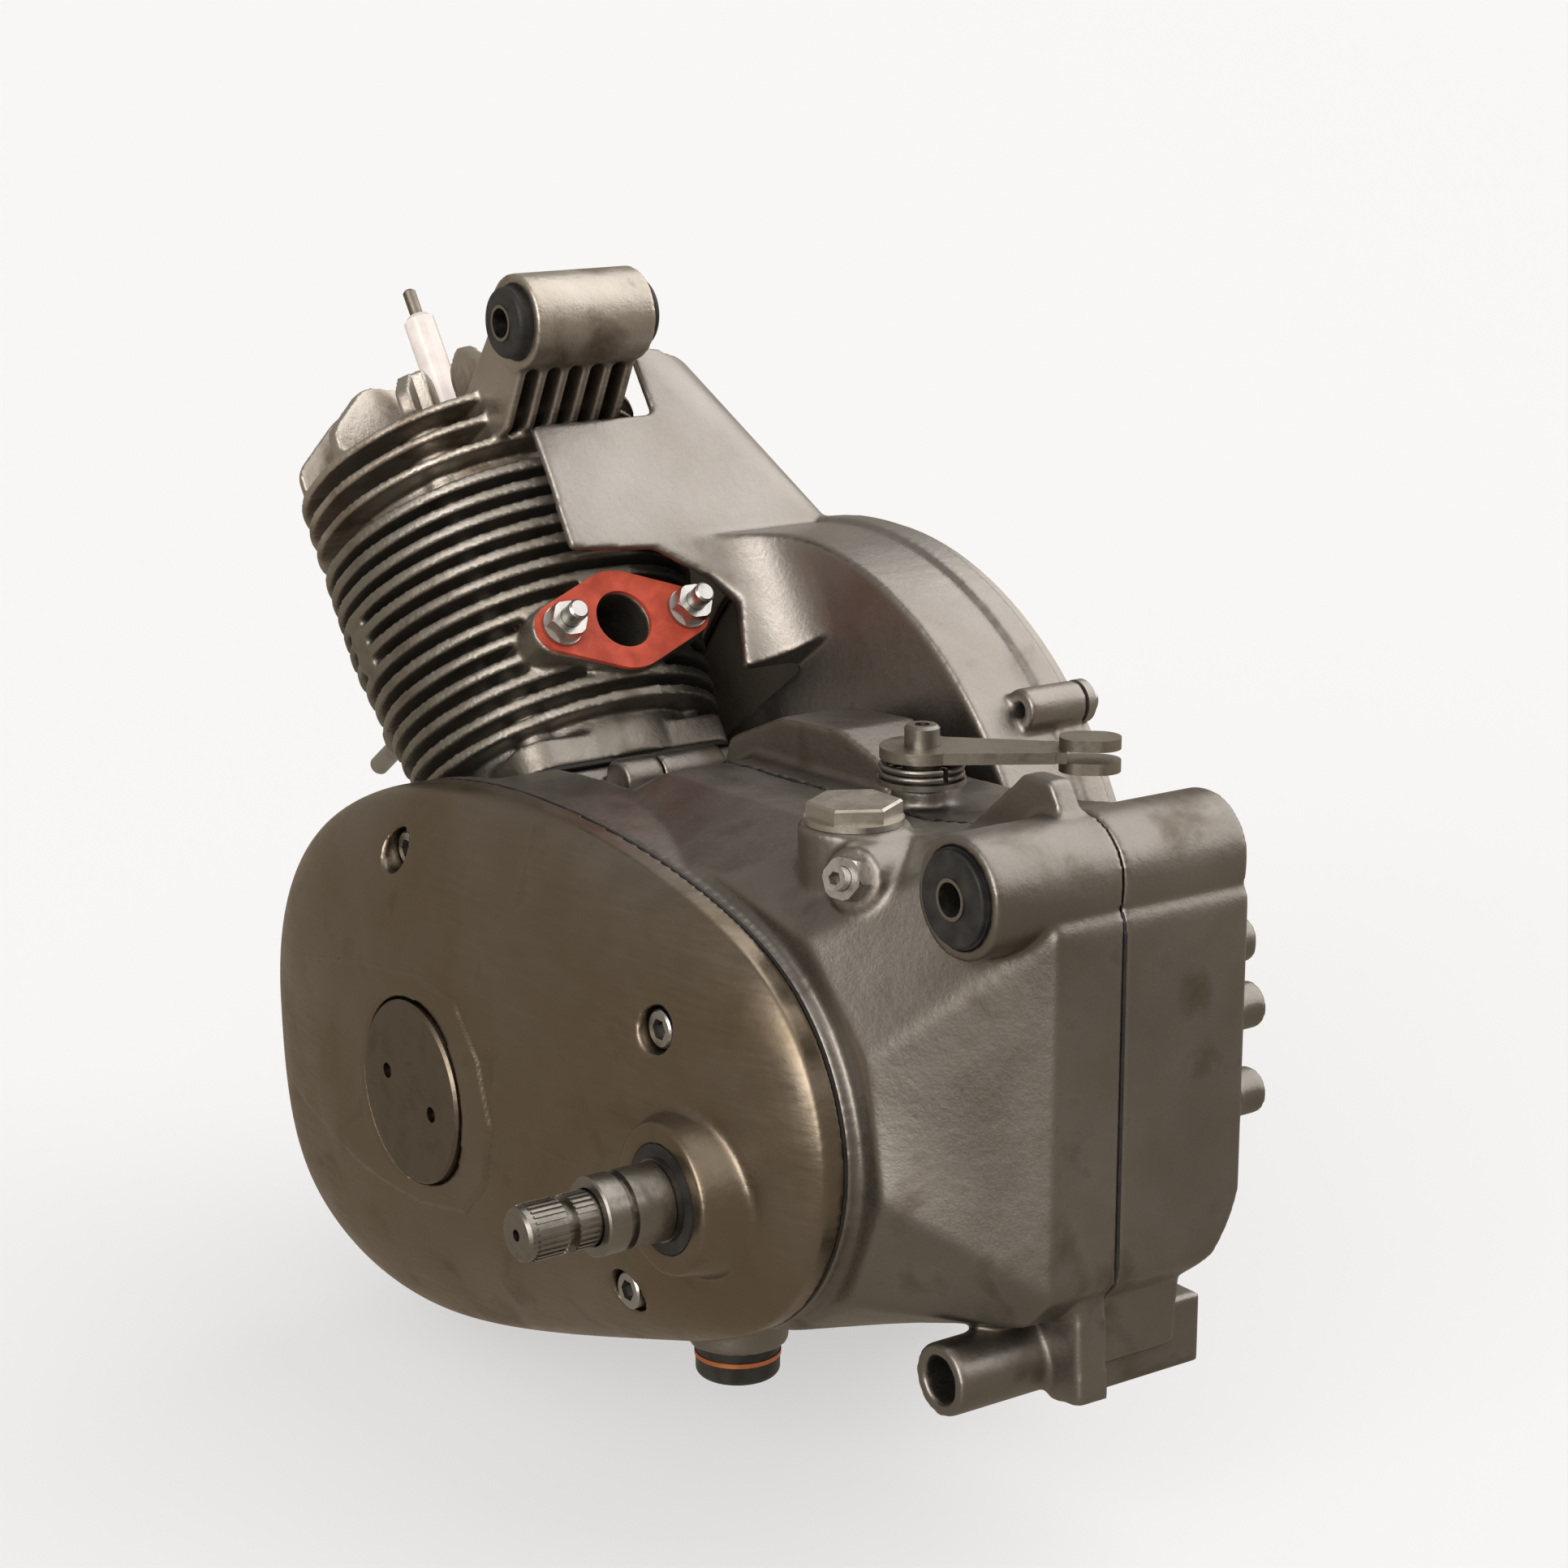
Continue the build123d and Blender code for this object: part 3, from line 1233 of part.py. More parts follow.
save_group([crank_half(-1, left_end_y), crank_half(1, right_end_y)], "crankshaft")
wrist_h = stroke / 2 + rod_length
wrist_x, _, wrist_z = at_barrel(wrist_h)
big_x, _, big_z = at_barrel(stroke / 2)
with BuildPart() as connecting_rod:
    add(disc_part(big_x, big_z, -6, 6, 14))
    add(disc_part(wrist_x, wrist_z, -7, 7, 8.5))
    with BuildSketch(barrel_side(3)):
        with Locations((0, stroke / 2 + rod_length / 2)):
            Rectangle(11, rod_length)
    extrude(amount=6)
    with BuildSketch(barrel_side(3)):
        with Locations((0, stroke / 2 + rod_length / 2 + 2)):
            SlotOverall(rod_length - 36, 6, rotation=90)
    extrude(amount=1.8, mode=Mode.SUBTRACT)
    with BuildSketch(barrel_side(-3)):
        with Locations((0, stroke / 2 + rod_length / 2 + 2)):
            SlotOverall(rod_length - 36, 6, rotation=90)
    extrude(amount=-1.8, mode=Mode.SUBTRACT)
    add(disc_part(big_x, big_z, -7, 7, pin_radius + running_gap), mode=Mode.SUBTRACT)
    add(disc_part(wrist_x, wrist_z, -8, 8, 6 + running_gap), mode=Mode.SUBTRACT)
save(connecting_rod.part, "connecting_rod")

crown_h = wrist_h + crown_height
ring_grooves = (crown_h - 5, crown_h - 10)
with BuildPart() as piston:
    with BuildSketch(barrel(crown_h - piston_length)):
        Circle(bore_radius - running_gap)
    extrude(amount=piston_length)
    chamfer(piston.faces().sort_by(Axis.Z)[-1].edges(), 0.8)
    for groove in ring_grooves:
        with BuildSketch(barrel(groove)):
            Circle(bore_radius + 1)
            Circle(bore_radius - 1.8, mode=Mode.SUBTRACT)
        extrude(amount=2, mode=Mode.SUBTRACT)
    with BuildSketch(barrel(crown_h - piston_length - 1)):
        Circle(bore_radius - 3)
    extrude(amount=piston_length - 5, mode=Mode.SUBTRACT)
    with BuildSketch(side(17.5)):
        with Locations((wrist_x, wrist_z)):
            Circle(9)
    extrude(amount=9)
    with BuildSketch(side(-8.5)):
        with Locations((wrist_x, wrist_z)):
            Circle(9)
    extrude(amount=9)
    add(disc_part(wrist_x, wrist_z, -21, 21, 6 + running_gap), mode=Mode.SUBTRACT)
save(piston.part, "piston")
save_group([disc_part(big_x, big_z, -web_inner + free_gap, web_inner - free_gap, pin_radius, edge=0.5),
            disc_part(wrist_x, wrist_z, -16.5, 16.5, 6, inner=3.5)], "rod_pins")

with BuildPart() as piston_rings:
    for groove in ring_grooves:
        with BuildSketch(barrel(groove + 0.1)):
            Circle(bore_radius - 0.02)
            Circle(bore_radius - 1.7, mode=Mode.SUBTRACT)
            with Locations((0, bore_radius)):
                Rectangle(0.5, 6, mode=Mode.SUBTRACT)
        extrude(amount=1.8)
save(piston_rings.part, "piston_rings")

seat = chamber_half_width + bearing_width / 2
save_group([bearing_part(crank_x, crank_z, turn * seat, bearing_outer_radius - press_gap,
                         journal_radius + press_gap, bearing_width) for turn in (-1, 1)], "main_bearings")

# ---------------------------------------------------------------- magneto and blower wheel
with BuildPart() as stator:
    add(disc_part(crank_x, crank_z, 47, 50, 40, inner=15))
    with Locations(side(56)):
        with Locations((crank_x, crank_z)):
            with PolarLocations(30, 3, start_angle=20):
                Box(12, 24, 12)
    for angle in (60, 180, 300):
        post_x, post_z = from_point(crank_x, crank_z, angle, 36)
        add(disc_part(post_x, post_z, right_face_y, 47, 3.5))
save(stator.part, "stator_plate")

with BuildPart() as flywheel:
    add(disc_part(crank_x, crank_z, 56, 72, flywheel_radius, inner=flywheel_radius - 6))
    add(disc_part(crank_x, crank_z, 66, 70, flywheel_radius - 1, inner=journal_radius))
    add(disc_part(crank_x, crank_z, 64, 74, 17, inner=journal_radius))
save(flywheel.part, "flywheel")

with BuildPart() as fan:
    add(disc_part(crank_x, crank_z, 57, 59, fan_radius, inner=flywheel_radius))
    with BuildSketch(side(75)):
        with Locations((crank_x, crank_z)):
            with PolarLocations((fan_radius + flywheel_radius) / 2, fan_blades):
                Rectangle(fan_radius - flywheel_radius - 1, 1.8, rotation=28)
    extrude(amount=17)
save(fan.part, "fan_wheel")

# ---------------------------------------------------------------- primary drive and clutch
mesh_angle = main_shaft_direction
pinion = gear_part(crank_x, crank_z, -50, -42, pinion_teeth, primary_module, mesh_angle, journal_radius)
save(pinion, "crank_pinion")
with BuildPart() as crankshaft_nuts:
    add(hex_nut(side(-50), [(crank_x, crank_z)], 27, 7, journal_radius))
    add(hex_nut(side_right(74), [(-crank_x, crank_z)], 27, 7, journal_radius))
save(crankshaft_nuts.part, "crankshaft_nuts")

with BuildPart() as clutch_basket:
    add(gear_part(main_x, main_z, -49, -43, clutch_teeth, primary_module, mesh_angle + 180 + 180 / clutch_teeth, 7))
    add(disc_part(main_x, main_z, -68, -48, 36, inner=33))
    with BuildSketch(side(-52)):
        with Locations((main_x, main_z)):
            with PolarLocations(34.5, 8):
                Rectangle(8, 7)
    extrude(amount=17, mode=Mode.SUBTRACT)
save(clutch_basket.part, "clutch_basket")

with BuildPart() as clutch_plates:
    for number in range(3):
        add(disc_part(main_x, main_z, -55.5 - 4 * number, -53 - 4 * number, 32.5, inner=17))
save(clutch_plates.part, "clutch_plates")
with BuildPart() as clutch_hub:
    add(disc_part(main_x, main_z, -66, -50, 16.5, inner=7))
    add(disc_part(main_x, main_z, -51.5, -50, 32))
    add(disc_part(main_x, main_z, -67, -49, 7), mode=Mode.SUBTRACT)
save(clutch_hub.part, "clutch_hub")
save(disc_part(main_x, main_z, -69.5, -66.5, 31, inner=3, edge=0.6), "clutch_pressure_plate")

# ---------------------------------------------------------------- gearbox
shaft_radius = 7.0
main_left, main_right = -66.0, 35.5
output_left, output_right = -31.5, 46.5
pair_low = (-21.0, -3.0)
gear_width = 12.0

with BuildPart() as main_shaft:
    add(disc_part(main_x, main_z, main_left, main_right, shaft_radius, edge=0.5))
    for (driver, driven), low in zip(gear_pairs, pair_low):
        add(gear_part(main_x, main_z, low, low + gear_width, driver, gear_module, output_shaft_direction,
                      shaft_radius - 1))
save(main_shaft.part, "main_shaft")
save(disc_part(output_x, output_z, output_left, output_right, shaft_radius, edge=0.5), "output_shaft")
for number, ((driver, driven), low) in enumerate(zip(gear_pairs, pair_low), start=1):
    fit = 0.0 if number == 1 else running_gap
    save(gear_part(output_x, output_z, low, low + gear_width, driven, gear_module,
                   output_shaft_direction + 180 + 180 / driven, shaft_radius + fit), "output_gear_%d" % number)

small_seats = ((main_x, main_z, -32.5), (main_x, main_z, 31.0), (output_x, output_z, -27.5),
               (output_x, output_z, 34.5))
save_group([bearing_part(x, z, y, small_bearing_radius - press_gap, shaft_radius + press_gap, 8.4)
            for x, z, y in small_seats], "gearbox_bearings")

with BuildPart() as sprocket:
    pitch_radius = chain_pitch / 2 / sin(pi / sprocket_teeth)
    with BuildSketch(side(45.5)):
        with Locations((output_x, output_z)):
            Circle(pitch_radius + 2.5)
            with PolarLocations(pitch_radius + 0.8, sprocket_teeth):
                Circle(4.3, mode=Mode.SUBTRACT)
            Circle(shaft_radius, mode=Mode.SUBTRACT)
    extrude(amount=4.5)
save(sprocket.part, "output_sprocket")

# ---------------------------------------------------------------- kick start and gear shift shafts
kick_gear_teeth = 15
with BuildPart() as kick_shaft:
    add(disc_part(kick_x, kick_z, kick_end_y, -30, kick_radius - 0.2, edge=0.8))
    add(gear_part(kick_x, kick_z, -42, -37, kick_gear_teeth, primary_module, 0, kick_radius - 1))
    for low, high in ((-118.5, -110), (-107, -101.5)):
        with BuildSketch(side(high)):
            with Locations((kick_x, kick_z)):
                with PolarLocations(kick_radius - 0.1, 28):
                    Rectangle(0.7, 0.7)
        extrude(amount=high - low)
    with BuildSketch(side(-107)):
        with Locations((kick_x, kick_z)):
            Circle(kick_radius + 1)
            Circle(kick_radius - 1.6, mode=Mode.SUBTRACT)
    extrude(amount=3, mode=Mode.SUBTRACT)
    with BuildSketch(side(kick_end_y + 4)):
        with Locations((kick_x, kick_z)):
            Circle(1.5)
    extrude(amount=5, mode=Mode.SUBTRACT)
save(kick_shaft.part, "kick_shaft")

with BuildPart() as shift_shaft:
    add(disc_part(kick_x, kick_z, shift_end_y, cover_boss_y - 1, shift_radius, inner=kick_radius + 0.4, edge=0.5))
    add(disc_part(kick_x, kick_z, cover_boss_y - 1, -45, shift_radius + 0.5, inner=kick_radius + 0.4))
    with BuildSketch(side(-92)):
        with Locations((kick_x, kick_z)):
            Circle(shift_radius + 1)
            Circle(shift_radius - 1.1, mode=Mode.SUBTRACT)
    extrude(amount=2.2, mode=Mode.SUBTRACT)
    add(disc_part(kick_x, kick_z, -52, -46, 15, inner=shift_radius))
    with BuildSketch(side(-48)):
        with BuildLine():
            FilletPolyline((kick_x - 6, kick_z - 12), (kick_x + 6, kick_z - 12), (kick_x + 4, kick_z - 27),
                           (kick_x - 4, kick_z - 27), close=True, radius=1.5)
        make_face()
    extrude(amount=3.5)
save(shift_shaft.part, "shift_shaft")

# ---------------------------------------------------------------- clutch lever on top of the gearbox
lever_plane = Plane.XY.offset(lever_seat_z)
with BuildPart() as lever_washer:
    with BuildSketch(lever_plane.offset(0.3)):
        with Locations((lever_x, lever_y)):
            Circle(11.5)
            Circle(lever_shaft_radius + running_gap, mode=Mode.SUBTRACT)
    extrude(amount=1.5)
save(lever_washer.part, "lever_washer")

with BuildPart() as lever_spring:
    for turn in range(2):
        with BuildSketch(Plane(origin=(lever_x, lever_y, 0), x_dir=(1, 0, 0), z_dir=(0, -1, 0))):
            with Locations((10.3, lever_seat_z + 2.9 + 2.0 * turn)):
                Circle(0.9)
        revolve(axis=Axis((lever_x, lever_y, 0), (0, 0, 1)), revolution_arc=352)
save(lever_spring.part, "lever_spring")

arm_low = lever_seat_z + 7.0
with BuildPart() as clutch_lever:
    with BuildSketch(Plane.XY.offset(arm_low)):
        with Locations((lever_x, lever_y)):
            Circle(11)
    extrude(amount=3)
    with BuildSketch(Plane(origin=(lever_x, lever_y, arm_low), x_dir=(cos(radians(lever_direction)),
                                                                      sin(radians(lever_direction)), 0))):
        with BuildLine():
            FilletPolyline((0, -10), (lever_length - 8, -6), (lever_length - 8, 6), (0, 10), close=True, radius=2)
        make_face()
    extrude(amount=3)
    with BuildSketch(Plane(origin=(lever_x, lever_y, arm_low - 3), x_dir=(cos(radians(lever_direction)),
                                                                          sin(radians(lever_direction)), 0))):
        with Locations((lever_length - 4, 0)):
            RectangleRounded(16, 12, 5.9)
    extrude(amount=9)
    with BuildSketch(Plane(origin=(lever_x, lever_y, arm_low), x_dir=(cos(radians(lever_direction)),
                                                                      sin(radians(lever_direction)), 0))):
        with Locations((lever_length - 4, 0)):
            RectangleRounded(22, 13, 2)
    extrude(amount=3, mode=Mode.SUBTRACT)
    with BuildSketch(Plane(origin=(lever_x, lever_y, arm_low), x_dir=(cos(radians(lever_direction)),
                                                                      sin(radians(lever_direction)), 0))):
        with Locations((lever_length - 13, 0)):
            Rectangle(6, 12)
    extrude(amount=3)
    with BuildSketch(Plane.XY.offset(arm_low - 4)):
        with Locations((lever_x, lever_y)):
            Circle(lever_shaft_radius)
    extrude(amount=12, mode=Mode.SUBTRACT)
save(clutch_lever.part, "clutch_lever")

with BuildPart() as lever_shaft:
    with BuildSketch(Plane.XY.offset(-12)):
        with Locations((lever_x, lever_y)):
            Circle(lever_shaft_radius)
    extrude(amount=12 + arm_low + 3)
    with BuildSketch(Plane.XY.offset(arm_low + 3)):
        with Locations((lever_x, lever_y)):
            Circle(4.6)
    extrude(amount=5.5)
    chamfer(lever_shaft.faces().sort_by(Axis.Z)[-1].edges(), 0.8)
    with BuildSketch(Plane.XY.offset(arm_low + 3 + 3)):
        with Locations((lever_x, lever_y)):
            Circle(2)
    extrude(amount=5, mode=Mode.SUBTRACT)
save(lever_shaft.part, "lever_shaft")
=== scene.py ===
"""Small gasoline engine: recast castings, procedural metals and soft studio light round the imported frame."""
import json
import math

import bmesh
import bpy
import numpy as np
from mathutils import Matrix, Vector


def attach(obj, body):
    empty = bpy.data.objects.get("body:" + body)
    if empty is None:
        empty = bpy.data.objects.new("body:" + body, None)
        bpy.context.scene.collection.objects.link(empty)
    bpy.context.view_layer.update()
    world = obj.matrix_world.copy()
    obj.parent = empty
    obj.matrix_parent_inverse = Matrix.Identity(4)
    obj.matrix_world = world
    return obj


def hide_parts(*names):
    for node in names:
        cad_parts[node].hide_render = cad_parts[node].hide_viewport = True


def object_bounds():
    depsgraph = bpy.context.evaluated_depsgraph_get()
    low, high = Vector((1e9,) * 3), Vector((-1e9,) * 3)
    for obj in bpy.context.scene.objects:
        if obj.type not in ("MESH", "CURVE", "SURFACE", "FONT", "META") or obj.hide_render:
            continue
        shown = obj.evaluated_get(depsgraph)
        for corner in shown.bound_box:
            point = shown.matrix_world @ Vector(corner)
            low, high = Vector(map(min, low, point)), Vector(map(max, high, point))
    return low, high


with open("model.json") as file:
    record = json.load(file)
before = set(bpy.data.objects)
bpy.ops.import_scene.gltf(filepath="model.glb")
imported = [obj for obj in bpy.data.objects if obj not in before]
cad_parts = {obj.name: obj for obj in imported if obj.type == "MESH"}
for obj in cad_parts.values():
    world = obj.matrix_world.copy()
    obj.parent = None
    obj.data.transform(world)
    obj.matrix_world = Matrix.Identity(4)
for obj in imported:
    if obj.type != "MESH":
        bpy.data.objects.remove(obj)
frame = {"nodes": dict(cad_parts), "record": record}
cad_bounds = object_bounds()
scene = bpy.context.scene

MM = 0.001
CRANK = np.array((-183.0, 0.0, -91.0)) * MM
COVER_RIM_Y = -59.8 * MM
COVER_SEAT_Y = -53.0 * MM
COVER_GASKET_Y = -53.8 * MM         # inner edge of the cover above its gasket
GASKET_Y = -0.8 * MM                # left casting's face at the parting plane
PANEL_RISE = 0.8 * MM
CASE_MIDDLE = np.array((-90.0, -60.0)) * MM     # middle of the castings in the side view
CASE_REAR_X = 15.0 * MM             # the bead fades out before the castings' rear face
BEAD_MEAN, BEAD_WAVE, BEAD_MOST = 0.35, 0.22, 0.9   # millimetres

BODY_OF = {node: body for body, nodes in frame["record"]["behaviour"]["bodies"].items() for node in nodes}
SLOT_OF = {part["node"]: part["material_slot"] for part in frame["record"]["subparts"]}


# ---------------------------------------------------------------- camera, floor and light
def add_camera():
    """Camera of the photograph: from the left rear, a little above."""
    data = bpy.data.cameras.new("camera")
    data.lens = 79.19
    data.sensor_width = 36.0
    data.clip_end = 200.0
    camera = bpy.data.objects.new("camera", data)
    scene.collection.objects.link(camera)
    camera.location = (0.6065, -0.5158, 0.2239)
    azimuth, elevation = math.radians(54.8), math.radians(14.3)
    look = Vector((-math.sin(azimuth) * math.cos(elevation), math.cos(azimuth) * math.cos(elevation),
                   -math.sin(elevation)))
    camera.rotation_euler = look.to_track_quat("-Z", "Y").to_euler()
    scene.camera = camera


def add_sun(name, towards, spread, strength, colour):
    """Very soft light from a direction; spread is its apparent width in degrees."""
    data = bpy.data.lights.new(name, "SUN")
    data.angle = math.radians(spread)
    data.energy = strength
    data.color = colour
    lamp = bpy.data.objects.new(name, data)
    scene.collection.objects.link(lamp)
    lamp.rotation_euler = Vector(towards).to_track_quat("Z", "Y").to_euler()


def add_floor(level):
    """Wide pale floor under the engine."""
    reach = 60.0
    mesh = bpy.data.meshes.new("floor")
    mesh.from_pydata([(-reach, -reach, level), (reach, -reach, level), (reach, reach, level),
                      (-reach, reach, level)], [], [(0, 1, 2, 3)])
    floor = bpy.data.objects.new("floor", mesh)
    scene.collection.objects.link(floor)
    material = bpy.data.materials.new("floor_pale")
    material.use_nodes = True
    shader = material.node_tree.nodes["Principled BSDF"]
    shader.inputs["Roughness"].default_value = 0.9
    shader.inputs["Emission Color"].default_value = (1.0, 1.0, 1.0, 1.0)
    shader.inputs["Emission Strength"].default_value = 0.54
    shader.inputs["Specular IOR Level"].default_value = 0.1
    noise = material.node_tree.nodes.new("ShaderNodeTexNoise")
    noise.inputs["Scale"].default_value = 3.0
    ramp = material.node_tree.nodes.new("ShaderNodeValToRGB")
    ramp.color_ramp.elements[0].color = (0.31, 0.315, 0.322, 1)
    ramp.color_ramp.elements[1].color = (0.33, 0.335, 0.342, 1)
    material.node_tree.links.new(noise.outputs["Fac"], ramp.inputs["Fac"])
    material.node_tree.links.new(ramp.outputs["Color"], shader.inputs["Base Color"])
    mesh.materials.append(material)
    floor.visible_glossy = False


def add_world():
    """Room light: warm and dim at eye level, brighter overhead."""
    world = bpy.data.worlds.new("room")
    scene.world = world
    world.use_nodes = True
    tree = world.node_tree
    coords = tree.nodes.new("ShaderNodeTexCoord")
    split = tree.nodes.new("ShaderNodeSeparateXYZ")
    ramp = tree.nodes.new("ShaderNodeValToRGB")
    tree.links.new(coords.outputs["Generated"], split.inputs["Vector"])
    tree.links.new(split.outputs["Z"], ramp.inputs["Fac"])
    steps = ramp.color_ramp.elements
    steps[0].position = 0.0
    steps[0].color = (0.37, 0.315, 0.25, 1)
    steps[1].position = 1.0
    steps[1].color = (0.38, 0.36, 0.34, 1)
    background = tree.nodes["Background"]
    background.inputs["Strength"].default_value = 1.0
    tree.links.new(ramp.outputs["Color"], background.inputs["Color"])


# ---------------------------------------------------------------- materials
class Recipe:
    """Small helper that builds one node material step by step."""

    def __init__(self, name, metallic, roughness):
        self.material = bpy.data.materials.new(name)
        self.material.use_nodes = True
        self.tree = self.material.node_tree
        self.shader = self.tree.nodes["Principled BSDF"]
        self.shader.inputs["Metallic"].default_value = metallic
        self.shader.inputs["Roughness"].default_value = roughness
        self.coords = self.tree.nodes.new("ShaderNodeTexCoord").outputs["Object"]

    def link(self, source, target):
        """Joins two sockets."""
        self.tree.links.new(source, target)

    def noise(self, scale, detail=4.0, distortion=0.0, stretch=None):
        """Noise over the object, in waves per metre."""
        node = self.tree.nodes.new("ShaderNodeTexNoise")
        node.inputs["Scale"].default_value = scale
        node.inputs["Detail"].default_value = detail
        node.inputs["Distortion"].default_value = distortion
        source = self.coords
        if stretch:
            mapping = self.tree.nodes.new("ShaderNodeMapping")
            mapping.inputs["Scale"].default_value = stretch
            self.link(source, mapping.inputs["Vector"])
            source = mapping.outputs["Vector"]
        self.link(source, node.inputs["Vector"])
        return node.outputs["Fac"]

    def spread(self, source, low, high, new_low, new_high):
        """Maps a value range onto another, clamped."""
        node = self.tree.nodes.new("ShaderNodeMapRange")
        for name, value in (("From Min", low), ("From Max", high), ("To Min", new_low), ("To Max", new_high)):
            node.inputs[name].default_value = value
        self.link(source, node.inputs["Value"])
        return node.outputs["Result"]

    def mix(self, factor, one, other, mode="MIX"):
        """Mix of two colours; either may be a socket or a plain colour."""
        node = self.tree.nodes.new("ShaderNodeMix")
        node.data_type = "RGBA"
        node.blend_type = mode
        for value, socket in ((factor, node.inputs[0]), (one, node.inputs[6]), (other, node.inputs[7])):
            if isinstance(value, bpy.types.NodeSocket):
                self.link(value, socket)
            elif isinstance(value, tuple):
                socket.default_value = value + (1.0,)
            else:
                socket.default_value = value
        return node.outputs[2]

    def sum(self, one, other, operation="ADD"):
        """Sum, or another arithmetic operation, of two values."""
        node = self.tree.nodes.new("ShaderNodeMath")
        node.operation = operation
        for value, socket in zip((one, other), node.inputs):
            if isinstance(value, bpy.types.NodeSocket):
                self.link(value, socket)
            else:
                socket.default_value = value
        return node.outputs["Value"]

    def edges(self):
        """Pointiness of the surface: above a half on ridges, below it in hollows."""
        return self.tree.nodes.new("ShaderNodeNewGeometry").outputs["Pointiness"]

    def bump(self, height, distance, strength=1.0):
        """Raises the surface by a height socket, distance in metres."""
        node = self.tree.nodes.new("ShaderNodeBump")
        node.inputs["Strength"].default_value = strength
        node.inputs["Distance"].default_value = distance
        self.link(height, node.inputs["Height"])
        self.link(node.outputs["Normal"], self.shader.inputs["Normal"])


def cast_metal(name, pale, mid, stain, rough_low, rough_high, grain, stain_from=0.55, ridge_wear_and_highlight=0.35):
    """Cast or blasted light alloy with handling stains and grain, ridges lightened (partly edge wear, partly
    painted highlight) and hollows darkened (partly grime, partly painted shade).
    """
    r = Recipe(name, 1.0, 0.5)
    patches = r.noise(14.0, 5.0, 0.6)
    blotches = r.noise(48.0, 6.0, 0.3)
    fine = r.noise(1400.0, 3.0)
    pits = r.noise(420.0, 2.0)
    body = r.mix(r.spread(patches, 0.35, 0.65, 0.0, 1.0), pale, mid)
    stained = r.mix(r.spread(blotches, stain_from, stain_from + 0.14, 0.0, 0.75), body, stain)
    edges = r.edges()
    # Ridges (high pointiness) lightened towards a brighter tone: partly edge wear, partly painted highlight.
    bare_and_highlight = tuple(min(1.0, c * 1.35) for c in pale)
    wear_and_highlight = r.mix(r.spread(edges, 0.515, 0.56, 0.0, ridge_wear_and_highlight), stained, bare_and_highlight)
    # Hollows (low pointiness) darkened: partly grime, partly painted shade.
    grime_and_shade = r.mix(r.spread(edges, 0.485, 0.44, 0.0, 0.85), wear_and_highlight, tuple(c * 0.55 for c in stain))
    r.link(grime_and_shade, r.shader.inputs["Base Color"])
    rough = r.sum(r.spread(blotches, 0.3, 0.7, rough_low, rough_high), r.spread(fine, 0.3, 0.7, -0.04, 0.04))
    r.link(rough, r.shader.inputs["Roughness"])
    r.bump(r.sum(r.sum(fine, 0.5, "MULTIPLY"), pits), grain)
    return r.material


def polished_metal(name, pale, mid, stain):
    """Hand polished light alloy: fine wiping scratches, soft cloudy haze, a few dull spots and hollows
    darkened (partly grime, partly painted shade).
    """
    r = Recipe(name, 1.0, 0.3)
    haze = r.noise(11.0, 4.0, 0.8)
    clouds = r.noise(60.0, 5.0, 0.5)
    wiping = r.noise(260.0, 4.0, 0.0, stretch=(0.25, 1.0, 2.4))
    specks = r.noise(900.0, 2.0)
    body = r.mix(r.spread(haze, 0.35, 0.65, 0.0, 1.0), pale, mid)
    clouded = r.mix(r.spread(clouds, 0.58, 0.75, 0.0, 0.5), body, stain)
    edges = r.edges()
    # Hollows (low pointiness) darkened: partly grime, partly painted shade.
    grime_and_shade = r.mix(r.spread(edges, 0.485, 0.44, 0.0, 0.8), clouded, tuple(c * 0.35 for c in stain))
    r.link(grime_and_shade, r.shader.inputs["Base Color"])
    rough = r.sum(r.spread(clouds, 0.3, 0.75, 0.27, 0.44), r.spread(wiping, 0.3, 0.7, -0.04, 0.05))
    r.link(rough, r.shader.inputs["Roughness"])
    r.bump(r.sum(wiping, r.sum(specks, 0.4, "MULTIPLY")), 0.00006)
    return r.material


def machined_metal(name, pale, dark, rough, turned=(1.0, 1.0, 1.0), dirt=0.5):
    """Turned or plated steel with tool marks and oily dirt, ridges lightened (partly wear, partly painted
    highlight) and hollows darkened (partly dirt, partly painted shade).
    """
    r = Recipe(name, 1.0, rough)
    marks = r.noise(700.0, 3.0, 0.0, stretch=turned)
    dirt_map = r.noise(130.0, 5.0, 0.4)
    body = r.mix(r.spread(dirt_map, 0.5, 0.68, 0.0, dirt), pale, dark)
    edges = r.edges()
    # Ridges (high pointiness) lightened: partly edge wear, partly painted highlight.
    wear_and_highlight = r.mix(r.spread(edges, 0.52, 0.6, 0.0, 0.5), body, tuple(min(1.0, c * 1.3) for c in pale))
    # Hollows (low pointiness) darkened: partly dirt, partly painted shade.
    grime_and_shade = r.mix(r.spread(edges, 0.48, 0.42, 0.0, 0.8), wear_and_highlight, tuple(c * 0.5 for c in dark))
    r.link(grime_and_shade, r.shader.inputs["Base Color"])
    r.link(r.sum(r.spread(dirt_map, 0.3, 0.7, rough - 0.07, rough + 0.1),
                 r.spread(marks, 0.3, 0.7, -0.04, 0.04)), r.shader.inputs["Roughness"])
    r.bump(marks, 0.00005)
    return r.material


def dull_solid(name, pale, dark, rough, grain, coat=0.0):
    """Rubber, paper, paint or ceramic: a non-metal with mottled colour and fine grain."""
    r = Recipe(name, 0.0, rough)
    mottle = r.noise(170.0, 5.0, 0.3)
    fine = r.noise(2200.0, 2.0)
    r.link(r.mix(r.spread(mottle, 0.35, 0.68, 0.0, 1.0), pale, dark), r.shader.inputs["Base Color"])
    r.link(r.spread(mottle, 0.3, 0.7, rough - 0.06, rough + 0.08), r.shader.inputs["Roughness"])
    r.shader.inputs["Specular IOR Level"].default_value = 0.5 if coat else 0.3
    r.shader.inputs["Coat Weight"].default_value = coat
    r.shader.inputs["Coat Roughness"].default_value = 0.12
    r.bump(r.sum(fine, mottle), grain)
    return r.material


